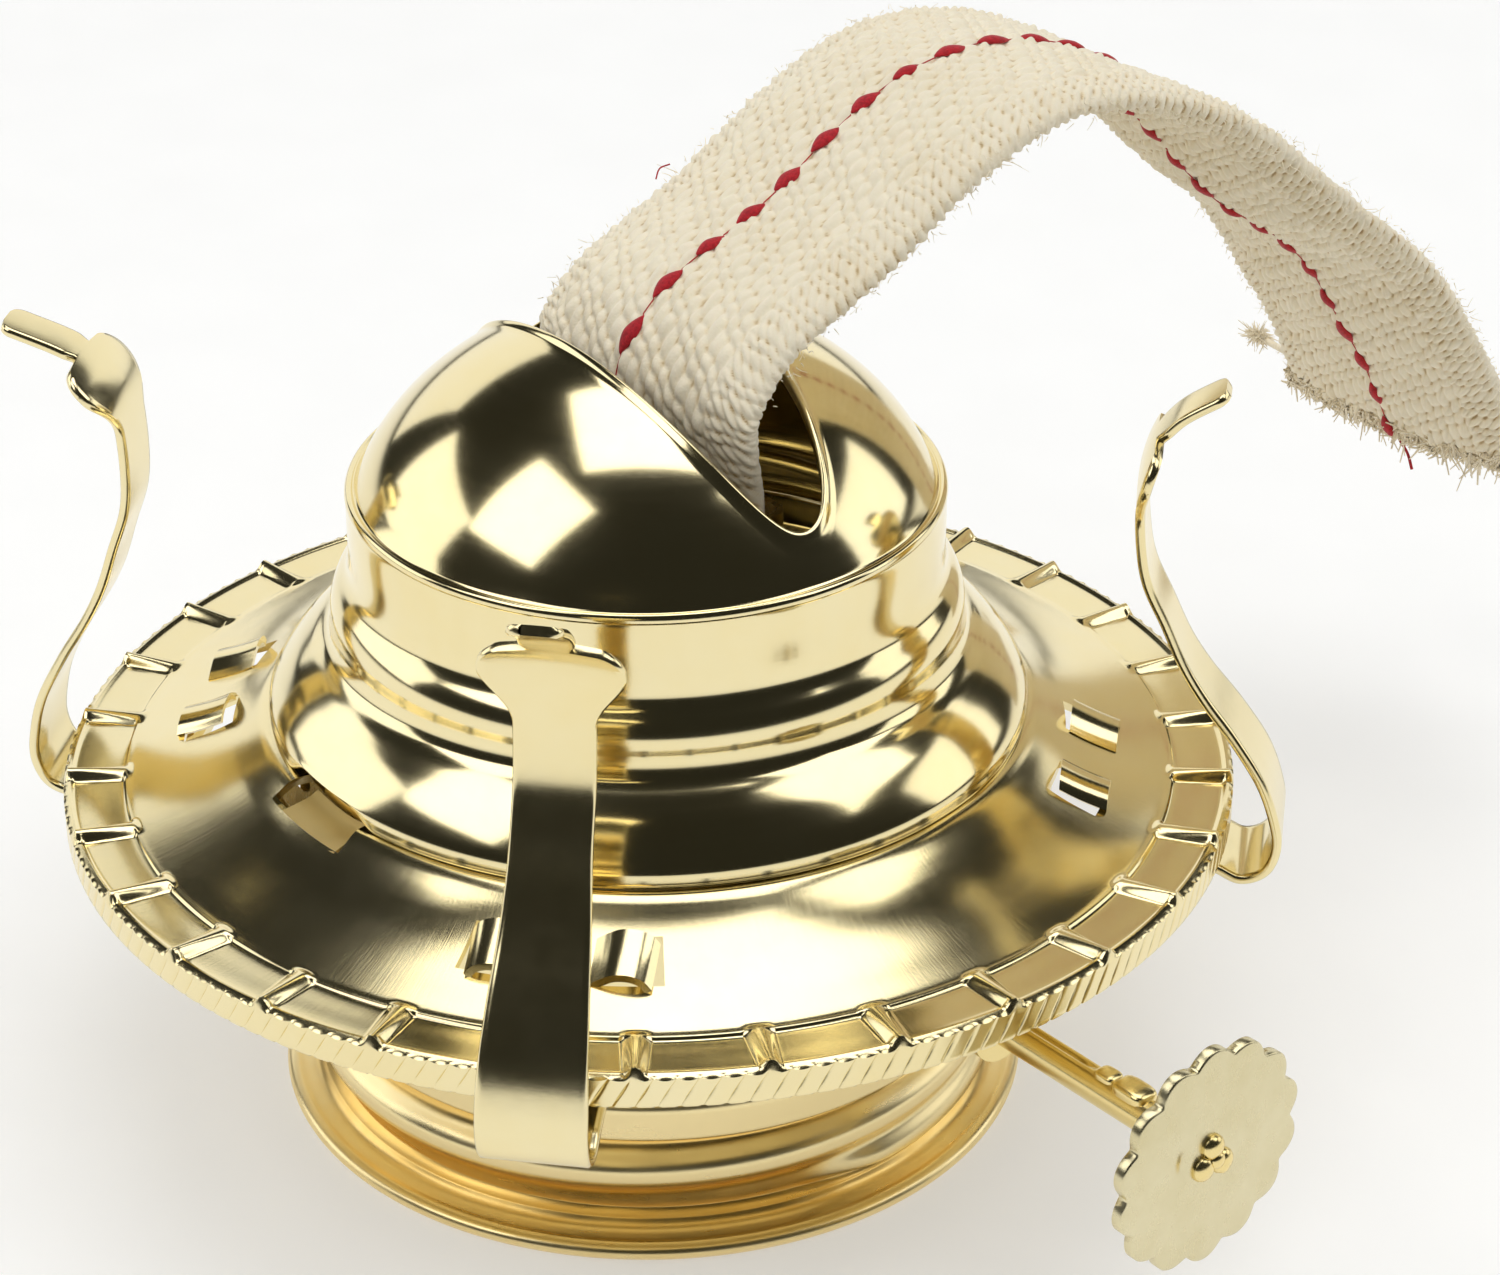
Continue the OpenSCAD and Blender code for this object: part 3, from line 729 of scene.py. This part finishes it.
def make_prong(index):
    rows = prong_points(PRONG_HEADS[index], PRONG_LEANS[index])
    rows[..., 1] += PRONG_SHIFTS[index]
    count = rows.shape[1]
    sides = grid_quads(len(rows), count, close_columns=True)
    faces = np.vstack([sides, end_caps(len(rows), count, count - 3, count // 2 - 2)])
    points = turned(rows, PRONG_TURNS[index])
    prong = make_mesh(f"chimney_prong_{index + 1}", points, faces, prong_brass, sharp_degrees=50.0)
    return settle(prong, f"spring_prong_{index + 1}", "prong_brass", PRONG_NODES[index])


# ---- screw collar ----

THREAD_PITCH = 3.1
THREAD_START = -15.0
THREAD_LOW = 2.6
CREST_RISE, CREST_HALF, CREST_POWER = 1.3, 1.4, 3.0
NECK_R, GROOVE_R, NECK_LOW = 24.2, 23.35, 8.1
COLLAR_T = 0.55
BORE_R, BORE_LOW = 22.85, 1.6


def make_collar():
    """Rolled flange, a right-hand rolled thread that starts beside the knob, and a plain neck."""
    turns = np.arange(0.0, 360.0, 1.0)
    wound = (turns - THREAD_START) % 360.0 / 360.0
    flange = spline([(22.9, 0.25), (23.2, 0.02), (FLANGE_R - 0.8, 0.0), (FLANGE_R - 0.25, 0.2),
                     (FLANGE_R, 0.62), (FLANGE_R - 0.2, 1.05), (FLANGE_R - 0.7, 1.24), (25.6, 1.2),
                     (24.9, 1.28), (24.45, 1.5), (24.1, 1.9)], 4)
    rows = [round_about(r, max(z, 0.0), turns) for r, z in flange]
    # Painted reflection and shade for each row: most in the thread's groove and on the flange next to the
    # neck, half inside, none on the top.
    painted_shades = [np.full(turns.size, 0.25 + 0.6 * float(smooth(25.3, 24.2, r))) for r, z in flange]

    def crest(z):
        """How far the thread stands out at a height: one whole turn, and a second that dies into the neck."""
        first = THREAD_LOW + wound * THREAD_PITCH
        bump = smooth(0.0, 0.05, wound) * np.exp(-(np.abs((z - first) / CREST_HALF) ** CREST_POWER))
        above = np.exp(-(np.abs((z - first - THREAD_PITCH) / CREST_HALF) ** CREST_POWER))
        second = (1.0 - smooth(0.12, 0.42, wound)) * above
        return np.clip(bump + second, 0.0, 1.0) * (1.0 - smooth(NECK_LOW - 0.9, NECK_LOW - 0.1, z))

    def wall(z):
        """Radius of the outer wall: a plain tube with the thread's crest wound round it."""
        neck = GROOVE_R + (NECK_R - GROOVE_R) * smooth(NECK_LOW - 0.4, NECK_LOW + 0.3, z)
        return neck + CREST_RISE * crest(z) * smooth(1.9, 2.6, z)

    levels = np.concatenate([np.arange(2.1, 8.7, 0.15), [9.0, 9.6, 10.3]])
    rows += [round_about(wall(z), z, turns) for z in levels]
    painted_shades += [1.0 - smooth(GROOVE_R, GROOVE_R + 0.5, wall(z)) for z in levels]
    top = spline([(24.2, 10.6), (24.0, 11.0), (23.5, COLLAR_TOP), (22.0, COLLAR_TOP), (19.9, COLLAR_TOP),
                  (19.8, COLLAR_TOP - 0.3), (19.9, COLLAR_TOP - 0.6), (22.4, COLLAR_TOP - 0.6),
                  (22.78, COLLAR_TOP - 0.9)], 3)
    inside = [round_about(wall(z) - COLLAR_T, z, turns) for z in levels[::-1][2:]]
    inside.append(round_about(BORE_R, BORE_LOW, turns))
    rows += [round_about(r, z, turns) for r, z in top] + inside
    painted_shades += [np.zeros(turns.size)] * len(top) + [np.full(turns.size, 0.5)] * len(inside)
    faces = grid_quads(len(rows), turns.size, True, True)
    painted_shade = np.stack(painted_shades).ravel()
    collar = make_mesh("screw_collar_shell", np.stack(rows), faces, collar_brass, painted_shade=painted_shade)
    return settle(collar, "burner_base", "collar_brass", "screw_collar")


# ---- wick raiser ----

KNOB_R = (KNOB_HIGH[2] - KNOB_LOW[2]) / 2
KNOB_LOBES = 14
LOBE_DEPTH = 0.95
VALLEY_ROUND = 0.03
DIMPLE_AT, DIMPLE_SIZE, DIMPLE_DEPTH = (-2.6, 0.6), (0.5, 1.1), 0.22
SHAFT_R, SHAFT_END = 1.2, 50.7
SEAM_TURN, SEAM_HALF, SEAM_DEPTH = 78.0, 13.0, 0.42
CURL_TURNS = [95.0, 205.0, 330.0]
END_LUMPS = [((0.1, 0.0, 0.35), (0.62, 0.62, 0.42)), ((0.75, -0.7, 0.25), (0.55, 0.6, 0.45))]
KEY_LUMPS = [((0.15, 1.05, 42.0), (0.75, 0.5, 0.9)), ((0.2, 1.05, 44.3), (1.05, 0.62, 1.5))]


def on_shaft(points):
    """Points drawn about their own z axis, put on the raiser's axis with z along +X."""
    points = np.asarray(points, float)
    return np.stack([points[..., 2], SHAFT_Y + points[..., 0], SHAFT_Z + points[..., 1]], -1)


def blob(centre, size, rings=10, steps=20):
    """A rounded lump."""
    tilt = np.linspace(-89.0, 89.0, rings)
    turns = np.arange(steps) * 360.0 / steps
    rows = [round_about(math.cos(math.radians(t)), math.sin(math.radians(t)), turns) for t in tilt]
    return np.stack(rows) * np.array(size) + np.array(centre), grid_quads(rings, steps, False, True)


def make_knob():
    """A thin disc with petal-like scallops, a small dimple and a soft stamped edge."""
    steps = KNOB_LOBES * 24
    turns = np.arange(steps) * 360.0 / steps
    lobe = np.sin(np.radians(turns) * KNOB_LOBES / 2) ** 2
    edge = KNOB_R - LOBE_DEPTH * (1.0 - ((lobe + VALLEY_ROUND) / (1.0 + VALLEY_ROUND)) ** 0.4)
    back, front = KNOB_LOW[0], KNOB_HIGH[0]
    rings = [(0.0, front - 0.02)] + [(f, front - 0.02 - 0.1 * f**2) for f in np.linspace(0.06, 0.94, 24)]
    rings += [(0.975, front - 0.12), (0.992, front - 0.16), (1.0, front - 0.24)]
    rings += [(1.0, back + 0.1), (0.99, back + 0.03)]
    rings += [(f, back) for f in (0.95, 0.7, 0.4, 0.1)] + [(0.0, back)]
    rows = []
    for fraction, x in rings:
        radius = np.maximum(edge * fraction, POINT_R)
        row = round_about(radius, x, turns)
        if x > (back + front) / 2:
            off = (row[:, :2] - np.array(DIMPLE_AT)) / np.array(DIMPLE_SIZE)
            row[:, 2] -= DIMPLE_DEPTH * np.exp(-(off**2).sum(axis=1))
        rows.append(row)
    faces = grid_quads(len(rows), steps, False, True)
    knob = make_mesh("finger_knob", on_shaft(np.stack(rows)), faces, knob_brass, 42.0)
    return settle(knob, "wick_raiser", "knob_brass", "knob")


def squared(points, centre, size, power=0.55):
    """A round lump pushed towards a box with soft corners."""
    share = (points - np.array(centre)) / np.array(size)
    return np.array(centre) + np.sign(share) * np.abs(share) ** power * np.array(size)


def make_shaft():
    """The rolled shaft: a seam along its top, a struck key behind the knob and its end curled over it."""
    turns = np.arange(0.0, 360.0, 6.0)
    seam = np.exp(-((angle_from(SEAM_TURN, turns) / SEAM_HALF) ** 2))
    stations = [SHAFT_START, SHAFT_START + 0.15, *np.linspace(SHAFT_START + 0.8, SHAFT_END, 90)]
    rows = []
    for k, x in enumerate(stations):
        open_seam = 1.0 - smooth(39.5, 41.5, x)
        shrink = 0.85 if k == 0 else 1.0
        rows.append(round_about(SHAFT_R * shrink - SEAM_DEPTH * seam * open_seam, x, turns))
    parts = [(on_shaft(np.stack(rows)), grid_quads(len(rows), turns.size, False, True))]
    front = KNOB_HIGH[0]
    for turn in CURL_TURNS:
        a = math.radians(turn)
        lump, faces = blob((0.95 * math.cos(a), 0.95 * math.sin(a), front + 0.05), (0.92, 0.92, 0.62))
        parts.append((on_shaft(lump), faces))
    for (across, up, out), size in END_LUMPS:
        lump, faces = blob((across, up, front + out), size)
        parts.append((on_shaft(lump), faces))
    for centre, size in KEY_LUMPS:
        lump, faces = blob(centre, size)
        parts.append((on_shaft(squared(lump, centre, size)), faces))
    points, faces = joined(parts)
    shaft = make_mesh("rolled_shaft", points, faces, raiser_brass, 60.0)
    return settle(shaft, "wick_raiser", "raiser_brass", "raiser_shaft")


# ---- wick ----

WICK_T = 2.4
WICK_ROUTE = [(0.0, 10.0), (0.0, 30.0), (0.0, 42.0), (0.0, 48.0), (-0.9, 51.4), (-1.4, 54.2),
              (-0.15, 56.6), (2.4, 58.9), (5.8, 60.5), (9.6, 61.95), (12.9, 63.55), (16.2, 65.6),
              (19.6, 67.35), (23.1, 68.6), (27.0, 69.2), (30.7, 69.1), (34.8, 68.3), (39.1, 66.7),
              (43.8, 64.0), (48.1, 60.4), (52.0, 56.3), (56.0, 52.6), (60.0, 49.9), (63.6, 47.3),
              (66.6, 44.4), (69.0, 41.2), (71.3, 37.8), (73.9, 34.2), (76.1, 30.4), (78.4, 26.0)]
# Place along the tape, and how far its far and its near edge stand off its middle there.
EDGE_LIFTS = [(36.0, 0.0, 0.0), (44.0, -2.6, -1.1), (50.0, -2.7, -0.6), (60.0, -2.5, -0.1),
              (72.0, -2.5, -0.3), (78.0, -1.5, 0.1), (83.0, -0.8, 0.0), (88.0, -0.3, 0.0),
              (94.0, 0.5, 0.3), (101.5, 1.5, 1.3), (110.0, 2.1, 2.4), (116.6, 1.7, 2.0),
              (122.0, 0.8, 1.6), (127.0, 0.4, 1.6), (133.5, 0.6, 1.8), (146.0, 0.6, 1.5)]
YARN_LONG, YARN_WIDE = 1.4, 0.95
EDGE_YARN_LONG, EDGE_YARN_WIDE = 1.5, 0.62
SELVEDGE_W = 3.2
YARN_RISE = 0.42
TOP_STITCHES, UNDER_STITCHES = (47.0, 3.85), (101.3, 4.1)
THREAD_TAIL = [(0.0, -0.6, 0.4), (0.1, -0.3, -0.8), (0.7, 0.3, -2.2), (1.4, 0.2, -3.4)]
HAIR_PLACE = 58.0
THREAD_HAIR = [(-10.2, 0.0, 0.6), (-10.4, 0.5, 1.2), (-10.0, 1.1, 1.5)]
FRINGE_FIBRES, EDGE_FIBRES, TUFT_FIBRES = 3000, 1500, 420
TUFT_STALK = [(0.6, 0.0, 0.0), (-0.5, 0.0, 0.1), (-1.6, 0.0, 0.2), (-2.8, 0.0, 0.3)]


def wick_middle(across, step):
    """The tape's middle surface as a grid of points, with its length places and unit normals."""
    path, places = even(spline(WICK_ROUTE, 10), step)
    outward = normals_2d(path)
    blur = np.ones(round(4.0 / step) | 1)
    blur /= blur.size
    lift_places, *edges = np.transpose(EDGE_LIFTS)
    lifts = []
    for edge in edges:
        lift = np.interp(places, lift_places, edge)
        lifts.append(np.convolve(np.pad(lift, blur.size // 2, "edge"), blur, "valid"))
    u = across[None, :] / WICK_HALF_W
    lift = np.where(u < 0.0, lifts[0][:, None], lifts[1][:, None]) * u**2
    y = path[:, :1] + outward[:, :1] * lift
    z = path[:, 1:] + outward[:, 1:] * lift
    middle = np.stack([across[None, :] + 0.0 * y, y, z], -1)
    normal = unit(np.cross(np.gradient(middle, axis=1), np.gradient(middle, axis=0)))
    return middle, places, normal


def scatter(row, column, seed):
    """A repeatable number from 0 to 1 for each yarn."""
    value = np.sin(row * 12.9898 + column * 78.233 + seed) * 43758.5453
    return value - np.floor(value)


def weave(across, along, seed, wide, long):
    """Staggered plump yarns that lean a little: their height, and how much painted shade each place takes in
    the hollows between them.
    """
    wobble = 0.22 * np.sin(along * 1.7 + 1.1 * across + seed)
    wobble = wobble + 0.16 * np.sin(across * 2.3 - 0.9 * along + 2 * seed)
    column = np.floor(across / wide + 0.3 * wobble)
    b = across / wide + 0.3 * wobble - column - 0.5
    shifted = along / long + 0.5 * (column % 2) + 0.45 * b + 0.6 * wobble
    row = np.floor(shifted)
    a = shifted - row - 0.5
    own = scatter(row, column, seed)
    lump = np.clip(1.0 - (1.9 * a) ** 2, 0.0, 1.0) ** 0.8 * np.clip(1.0 - (1.85 * b) ** 2, 0.0, 1.0) ** 0.8
    # Painted shade in the corners between lumps and the seams between columns, stronger or weaker at random.
    corner = smooth(0.22, 0.5, np.abs(a)) * smooth(0.12, 0.48, np.abs(b))
    seam = 0.28 * smooth(0.4, 0.5, np.abs(b))
    painted_shade = np.clip(corner + seam, 0.0, 1.0) * (0.45 + 0.75 * scatter(column, row, seed + 4.0))
    return lump * (0.7 + 0.5 * own), painted_shade


def make_wick():
    """The woven tape: plump yarns on both faces, slanting yarns along its edges and a ragged cut end."""
    columns = 210
    across = np.linspace(-1.0, 1.0, columns)
    across = WICK_HALF_W * np.sign(across) * (1.0 - (1.0 - np.abs(across)) ** 1.12)
    middle, places, normal = wick_middle(across, 0.13)
    u, v = np.broadcast_arrays(across[None, :], places[:, None])
    ragged = 0.5 * np.sin(u * 2.1 + 0.7) * np.sin(u * 0.83) + 0.3 * np.sin(u * 5.3 + 1.0)
    near_end = smooth(places[-1] - 3.0, places[-1], v)
    tangent = unit(np.gradient(middle, axis=0))
    middle = middle + tangent * (ragged * near_end)[..., None]
    rounding = np.clip(1.0 - np.abs(u / WICK_HALF_W) ** 12, 0.0, 1.0) ** 0.5
    edge_starts = WICK_HALF_W - SELVEDGE_W
    edge = smooth(edge_starts - 0.4, edge_starts + 0.4, np.abs(u) + 0.3 * np.sin(v * 1.3))
    slanting = (u * 0.75 + v * 0.66 + 60.0, v * 0.75 - u * 0.66)
    in_tube = 1.0 - smooth(38.0, 46.0, v)
    at_edge = smooth(WICK_HALF_W - 1.2, WICK_HALF_W, np.abs(u)) * (1.0 - in_tube)
    faces_up, painted_shades = [], []
    for seed, side in ((0.3, 1.0), (2.1, -1.0)):
        height, painted_shade = weave(u + 40.0, v, seed, YARN_WIDE, YARN_LONG)
        edge_height, edge_painted_shade = weave(*slanting, seed, EDGE_YARN_WIDE, EDGE_YARN_LONG)
        height = height * (1.0 - edge) + edge_height * edge
        # Painted shade between the yarns, and in the gaps of the slanting edge yarns.
        painted_shade = 0.62 * painted_shade * (1.0 - edge) + 0.85 * edge_painted_shade * edge
        relief = YARN_RISE * (height - 0.5) * (1.0 - 0.8 * in_tube)
        swell = 0.09 * np.sin(u * 1.1 + 0.35 * v + seed) * np.sin(0.8 * v - 0.5 * u)
        half = (WICK_T / 2 - 0.1) * rounding * (1.0 - 0.2 * near_end) - 0.15 * in_tube
        frayed = np.sign(u) * 0.3 * (edge_height - 0.5) * at_edge
        face = middle + normal * (side * (half + (relief + swell * (1.0 - in_tube)) * rounding))[..., None]
        face[..., 0] += frayed
        faces_up.append(face)
        # Painted shade: stronger on the under face, and growing towards the cut end.
        painted_shades.append(np.clip(painted_shade * (1.0 if side > 0 else 1.3) + 0.15 * near_end, 0.0, 1.0))
    rows, count = u.shape
    upper, under = faces_up
    under[:, 0], under[:, -1] = upper[:, 0], upper[:, -1]
    faces = slab_quads(np.ones((rows - 1, count - 1), bool), False)
    # The painted shade of both faces, one value for each point.
    depth = np.concatenate([h.ravel() for h in painted_shades])
    wick = make_mesh("woven_wick", two_faces(upper, under), faces, wick_cotton, painted_shade=depth)
    return wick, places[-1]


def tube(route, radii, steps=8):
    """A round thread along a 3D route, as points and quads."""
    route = np.asarray(route, float)
    radii = np.broadcast_to(np.asarray(radii, float), (len(route),))
    tangent = unit(np.gradient(route, axis=0))
    side = unit(np.cross(tangent, np.array([0.3, 0.5, 0.81])))
    other = np.cross(tangent, side)
    a = np.arange(steps) * 2 * np.pi / steps
    ring = np.cos(a)[None, :, None] * side[:, None, :] + np.sin(a)[None, :, None] * other[:, None, :]
    return route[:, None, :] + ring * radii[:, None, None], grid_quads(len(route), steps, False, True)


def make_stitches():
    """The red line of stitches on both faces: leaf-shaped dashes, each on a slant, joined by thin thread."""
    middle, places, normal = wick_middle(np.array([-0.4, 0.0, 0.4]), 0.1)
    spot, up = middle[:, 1], normal[:, 1]
    shown = (places > 44.0) & (places < places[-1] - 0.4)
    ring = np.arange(12) * 2 * np.pi / 12
    parts = []
    for side, (first, pitch) in ((1.0, TOP_STITCHES), (-1.0, UNDER_STITCHES)):
        count = (places - first) / pitch
        phase = (count + 0.5) % 1.0 - 0.5
        own = scatter(np.round(count), 3.0 + side, 0.7)
        reach = 0.33 + 0.06 * (own - 0.5)
        leaf = np.clip(1.0 - np.abs(phase / reach) ** 1.7, 0.0, 1.0)
        half_w = 0.045 + 0.56 * leaf * (0.9 + 0.25 * own)
        half_t = 0.045 + 0.24 * leaf
        slant = 0.32 * np.clip(phase / reach, -1.0, 1.0) * (leaf > 0)
        rise = WICK_T / 2 - 0.07 + 0.1 * leaf
        route = spot + up * (side * rise)[:, None]
        route[:, 0] += slant * 0.55
        rows = np.zeros((len(route), ring.size, 3))
        rows[:, :, 0] = half_w[:, None] * np.cos(ring)
        rows += (half_t[:, None] * np.sin(ring)[None, :])[..., None] * up[:, None, :]
        faces = grid_quads(int(shown.sum()), ring.size, False, True)
        parts.append(((route[:, None, :] + rows)[shown], faces))
    tail = spot[-1] + np.array(THREAD_TAIL)
    parts.append(tube(spline(tail, 6), 0.13, 6))
    hair = spot[np.abs(places - HAIR_PLACE).argmin()] + np.array(THREAD_HAIR)
    parts.append(tube(spline(hair, 5), 0.06, 5))
    points, faces = joined(parts)
    return make_mesh("red_stitches", points, faces, red_thread)


def make_fray():
    """Loose cotton: a dense fringe at the cut end, a short fuzz along both edges and one pulled tuft."""
    across = np.linspace(-WICK_HALF_W, WICK_HALF_W, 61)
    middle, places, normal = wick_middle(across, 0.5)
    tangent = unit(np.gradient(middle, axis=0))
    parts = []

    def fibre(start, direction, reach, radius, bend=0.35):
        droop = rng.normal(0.0, bend, 3) * reach
        t = np.linspace(0.0, 1.0, 6)[:, None]
        route = start + direction * reach * t + droop * t**2
        parts.append(tube(route, radius * (1.0 - 0.6 * t[:, 0]), 4))

    for _ in range(FRINGE_FIBRES):
        i = len(places) - 1 - rng.integers(0, 4)
        j = rng.integers(0, across.size)
        start = middle[i, j] + normal[i, j] * rng.uniform(-1.05, 1.05)
        direction = tangent[i, j] + rng.normal(0.0, 0.45, 3)
        fibre(start, direction, rng.uniform(0.15, 0.75), rng.uniform(0.09, 0.19), 0.9)
    shown = np.nonzero(places > 46.0)[0]
    for _ in range(EDGE_FIBRES):
        i = rng.choice(shown)
        side = rng.choice([0, -1])
        start = middle[i, side] + normal[i, side] * rng.uniform(-1.0, 1.0)
        outward = np.array([-1.0 if side == 0 else 1.0, 0.0, 0.0]) * rng.uniform(0.1, 0.6)
        fibre(start, outward + rng.normal(0.0, 0.6, 3), rng.uniform(0.15, 0.5), rng.uniform(0.02, 0.05), 0.6)
    root = middle[len(places) - 6, 0]
    stalk = root + np.array(TUFT_STALK)
    parts.append(tube(spline(stalk, 6), 0.28, 8))
    tuft = root + np.array([-3.6, 0.0, 0.45])
    for _ in range(TUFT_FIBRES):
        spread = unit(rng.normal(0.0, 1.0, 3))
        start = tuft + spread * np.array([1.0, 0.4, 0.45]) * rng.uniform(0.2, 0.9)
        fibre(start, spread * np.array([1.0, 0.6, 0.6]), rng.uniform(0.25, 0.7), rng.uniform(0.05, 0.1), 0.6)
    points, faces = joined(parts)
    return make_mesh("cotton_fray", points, faces, loose_cotton)


# ---- stage ----

CAMERA_AZIMUTH, CAMERA_ELEVATION = 50.1, 28.5
CAMERA_DISTANCE = 0.2785
CAMERA_AIM = Vector((0.00453, 0.00541, 0.03376))
LENS = 96.0
FLOOR_HALF, FLOOR_GLOW = 3000.0, 0.36


def toward(azimuth, elevation):
    """Unit vector from the object towards a place seen from that azimuth and elevation."""
    a, e = math.radians(azimuth), math.radians(elevation)
    return Vector((math.sin(a) * math.cos(e), -math.cos(a) * math.cos(e), math.sin(e)))


def make_camera():
    data = bpy.data.cameras.new("camera")
    data.lens = LENS
    data.sensor_width = 36.0
    camera = bpy.data.objects.new("camera", data)
    back = toward(CAMERA_AZIMUTH, CAMERA_ELEVATION)
    camera.location = CAMERA_AIM + back * CAMERA_DISTANCE
    camera.rotation_mode = "QUATERNION"
    camera.rotation_quaternion = (-back).to_track_quat("-Z", "Y")
    data.clip_start = 0.01
    bpy.context.scene.collection.objects.link(camera)
    bpy.context.scene.camera = camera


def softbox(name, azimuth, elevation, distance, width, height, radiance, colour=(1.0, 1.0, 1.0), glossy=True):
    """A rectangular light facing the object; azimuth is counted from the camera's."""
    data = bpy.data.lights.new(name, "AREA")
    data.shape = "RECTANGLE"
    data.size, data.size_y = width, height
    data.energy = radiance * math.pi * width * height
    data.color = colour
    light = bpy.data.objects.new(name, data)
    out = toward(CAMERA_AZIMUTH + azimuth, elevation)
    light.location = CAMERA_AIM + out * distance
    light.rotation_mode = "QUATERNION"
    light.rotation_quaternion = (-out).to_track_quat("-Z", "Y")
    light.visible_glossy = glossy
    bpy.context.scene.collection.objects.link(light)


def make_world():
    """A pale surround for the camera and a dim studio for the reflections."""
    world = bpy.data.worlds.new("studio")
    bpy.context.scene.world = world
    world.use_nodes = True
    tree = world.node_tree
    background = tree.nodes["Background"]
    path = tree.nodes.new("ShaderNodeLightPath")
    mix = tree.nodes.new("ShaderNodeMix")
    mix.data_type = "RGBA"
    mix.inputs["A"].default_value = (0.022, 0.022, 0.018, 1.0)
    mix.inputs["B"].default_value = (1.0, 1.0, 1.0, 1.0)
    tree.links.new(path.outputs["Is Camera Ray"], mix.inputs["Factor"])
    tree.links.new(mix.outputs["Result"], background.inputs["Color"])


def make_floor():
    nodes = Nodes("pale_floor")
    grain = nodes.noise(object_coordinates(nodes), 90.0, 3.0, 0.5)
    colour = nodes.ramp(grain, [(0.3, (0.66, 0.66, 0.65)), (0.7, (0.68, 0.68, 0.67))])
    nodes.shade(Base_Color=colour, Roughness=0.9, Emission_Color=(1.0, 1.0, 1.0, 1.0),
                Emission_Strength=FLOOR_GLOW)
    corners = [(x * FLOOR_HALF, y * FLOOR_HALF, 0.0) for x, y in ((-1, -1), (1, -1), (1, 1), (-1, 1))]
    make_mesh("floor", corners, [[0, 1, 2, 3]], nodes.material)


def make_studio():
    make_camera()
    make_world()
    make_floor()
    softbox("overhead", 180.0, 80.0, 0.9, 0.62, 0.6, 2.2)
    softbox("left_window", -64.0, 47.0, 0.9, 0.5, 0.55, 2.0)
    softbox("left_wall", -104.0, 18.0, 0.9, 0.62, 0.5, 1.4)
    softbox("right_window", 84.0, 50.0, 0.9, 0.45, 0.5, 1.8)
    softbox("right_wall", 106.0, 17.0, 0.9, 0.6, 0.42, 1.3)
    softbox("back_wall", 180.0, 19.0, 1.2, 2.0, 0.72, 1.0)
    softbox("fill", 10.0, 60.0, 1.2, 1.2, 1.2, 1.25, glossy=False)
    bpy.context.scene.view_settings.view_transform = "Standard"


# ---- the whole ----

def finish_cad_nodes():
    """The pieces that stay as CAD solids get their materials."""
    stays = {inner_brass: ["base_disc", "air_cup", "wick_tube", "vent_tube", "ratchet_cover", "draft_screen",
                           "shaft_sleeve"],
             raiser_brass: ["spur_wheel_1", "spur_wheel_2", "spur_wheel_3", "spur_wheel_4", "shaft_washer"]}
    for material, names in stays.items():
        for name in names:
            node = frame["nodes"][name]
            for slot in node.material_slots:
                slot.material = material


make_studio()
finish_cad_nodes()
make_plate()
make_rim()
make_dome()
for prong_index in range(4):
    make_prong(prong_index)
make_collar()
make_knob()
make_shaft()
wick, wick_length = make_wick()
stitches = make_stitches()
fray = make_fray()
settle(wick, "wick_tape", "wick_cotton", "wick")
settle(stitches, "wick_tape", "wick_cotton")
settle(fray, "wick_tape", "wick_cotton")
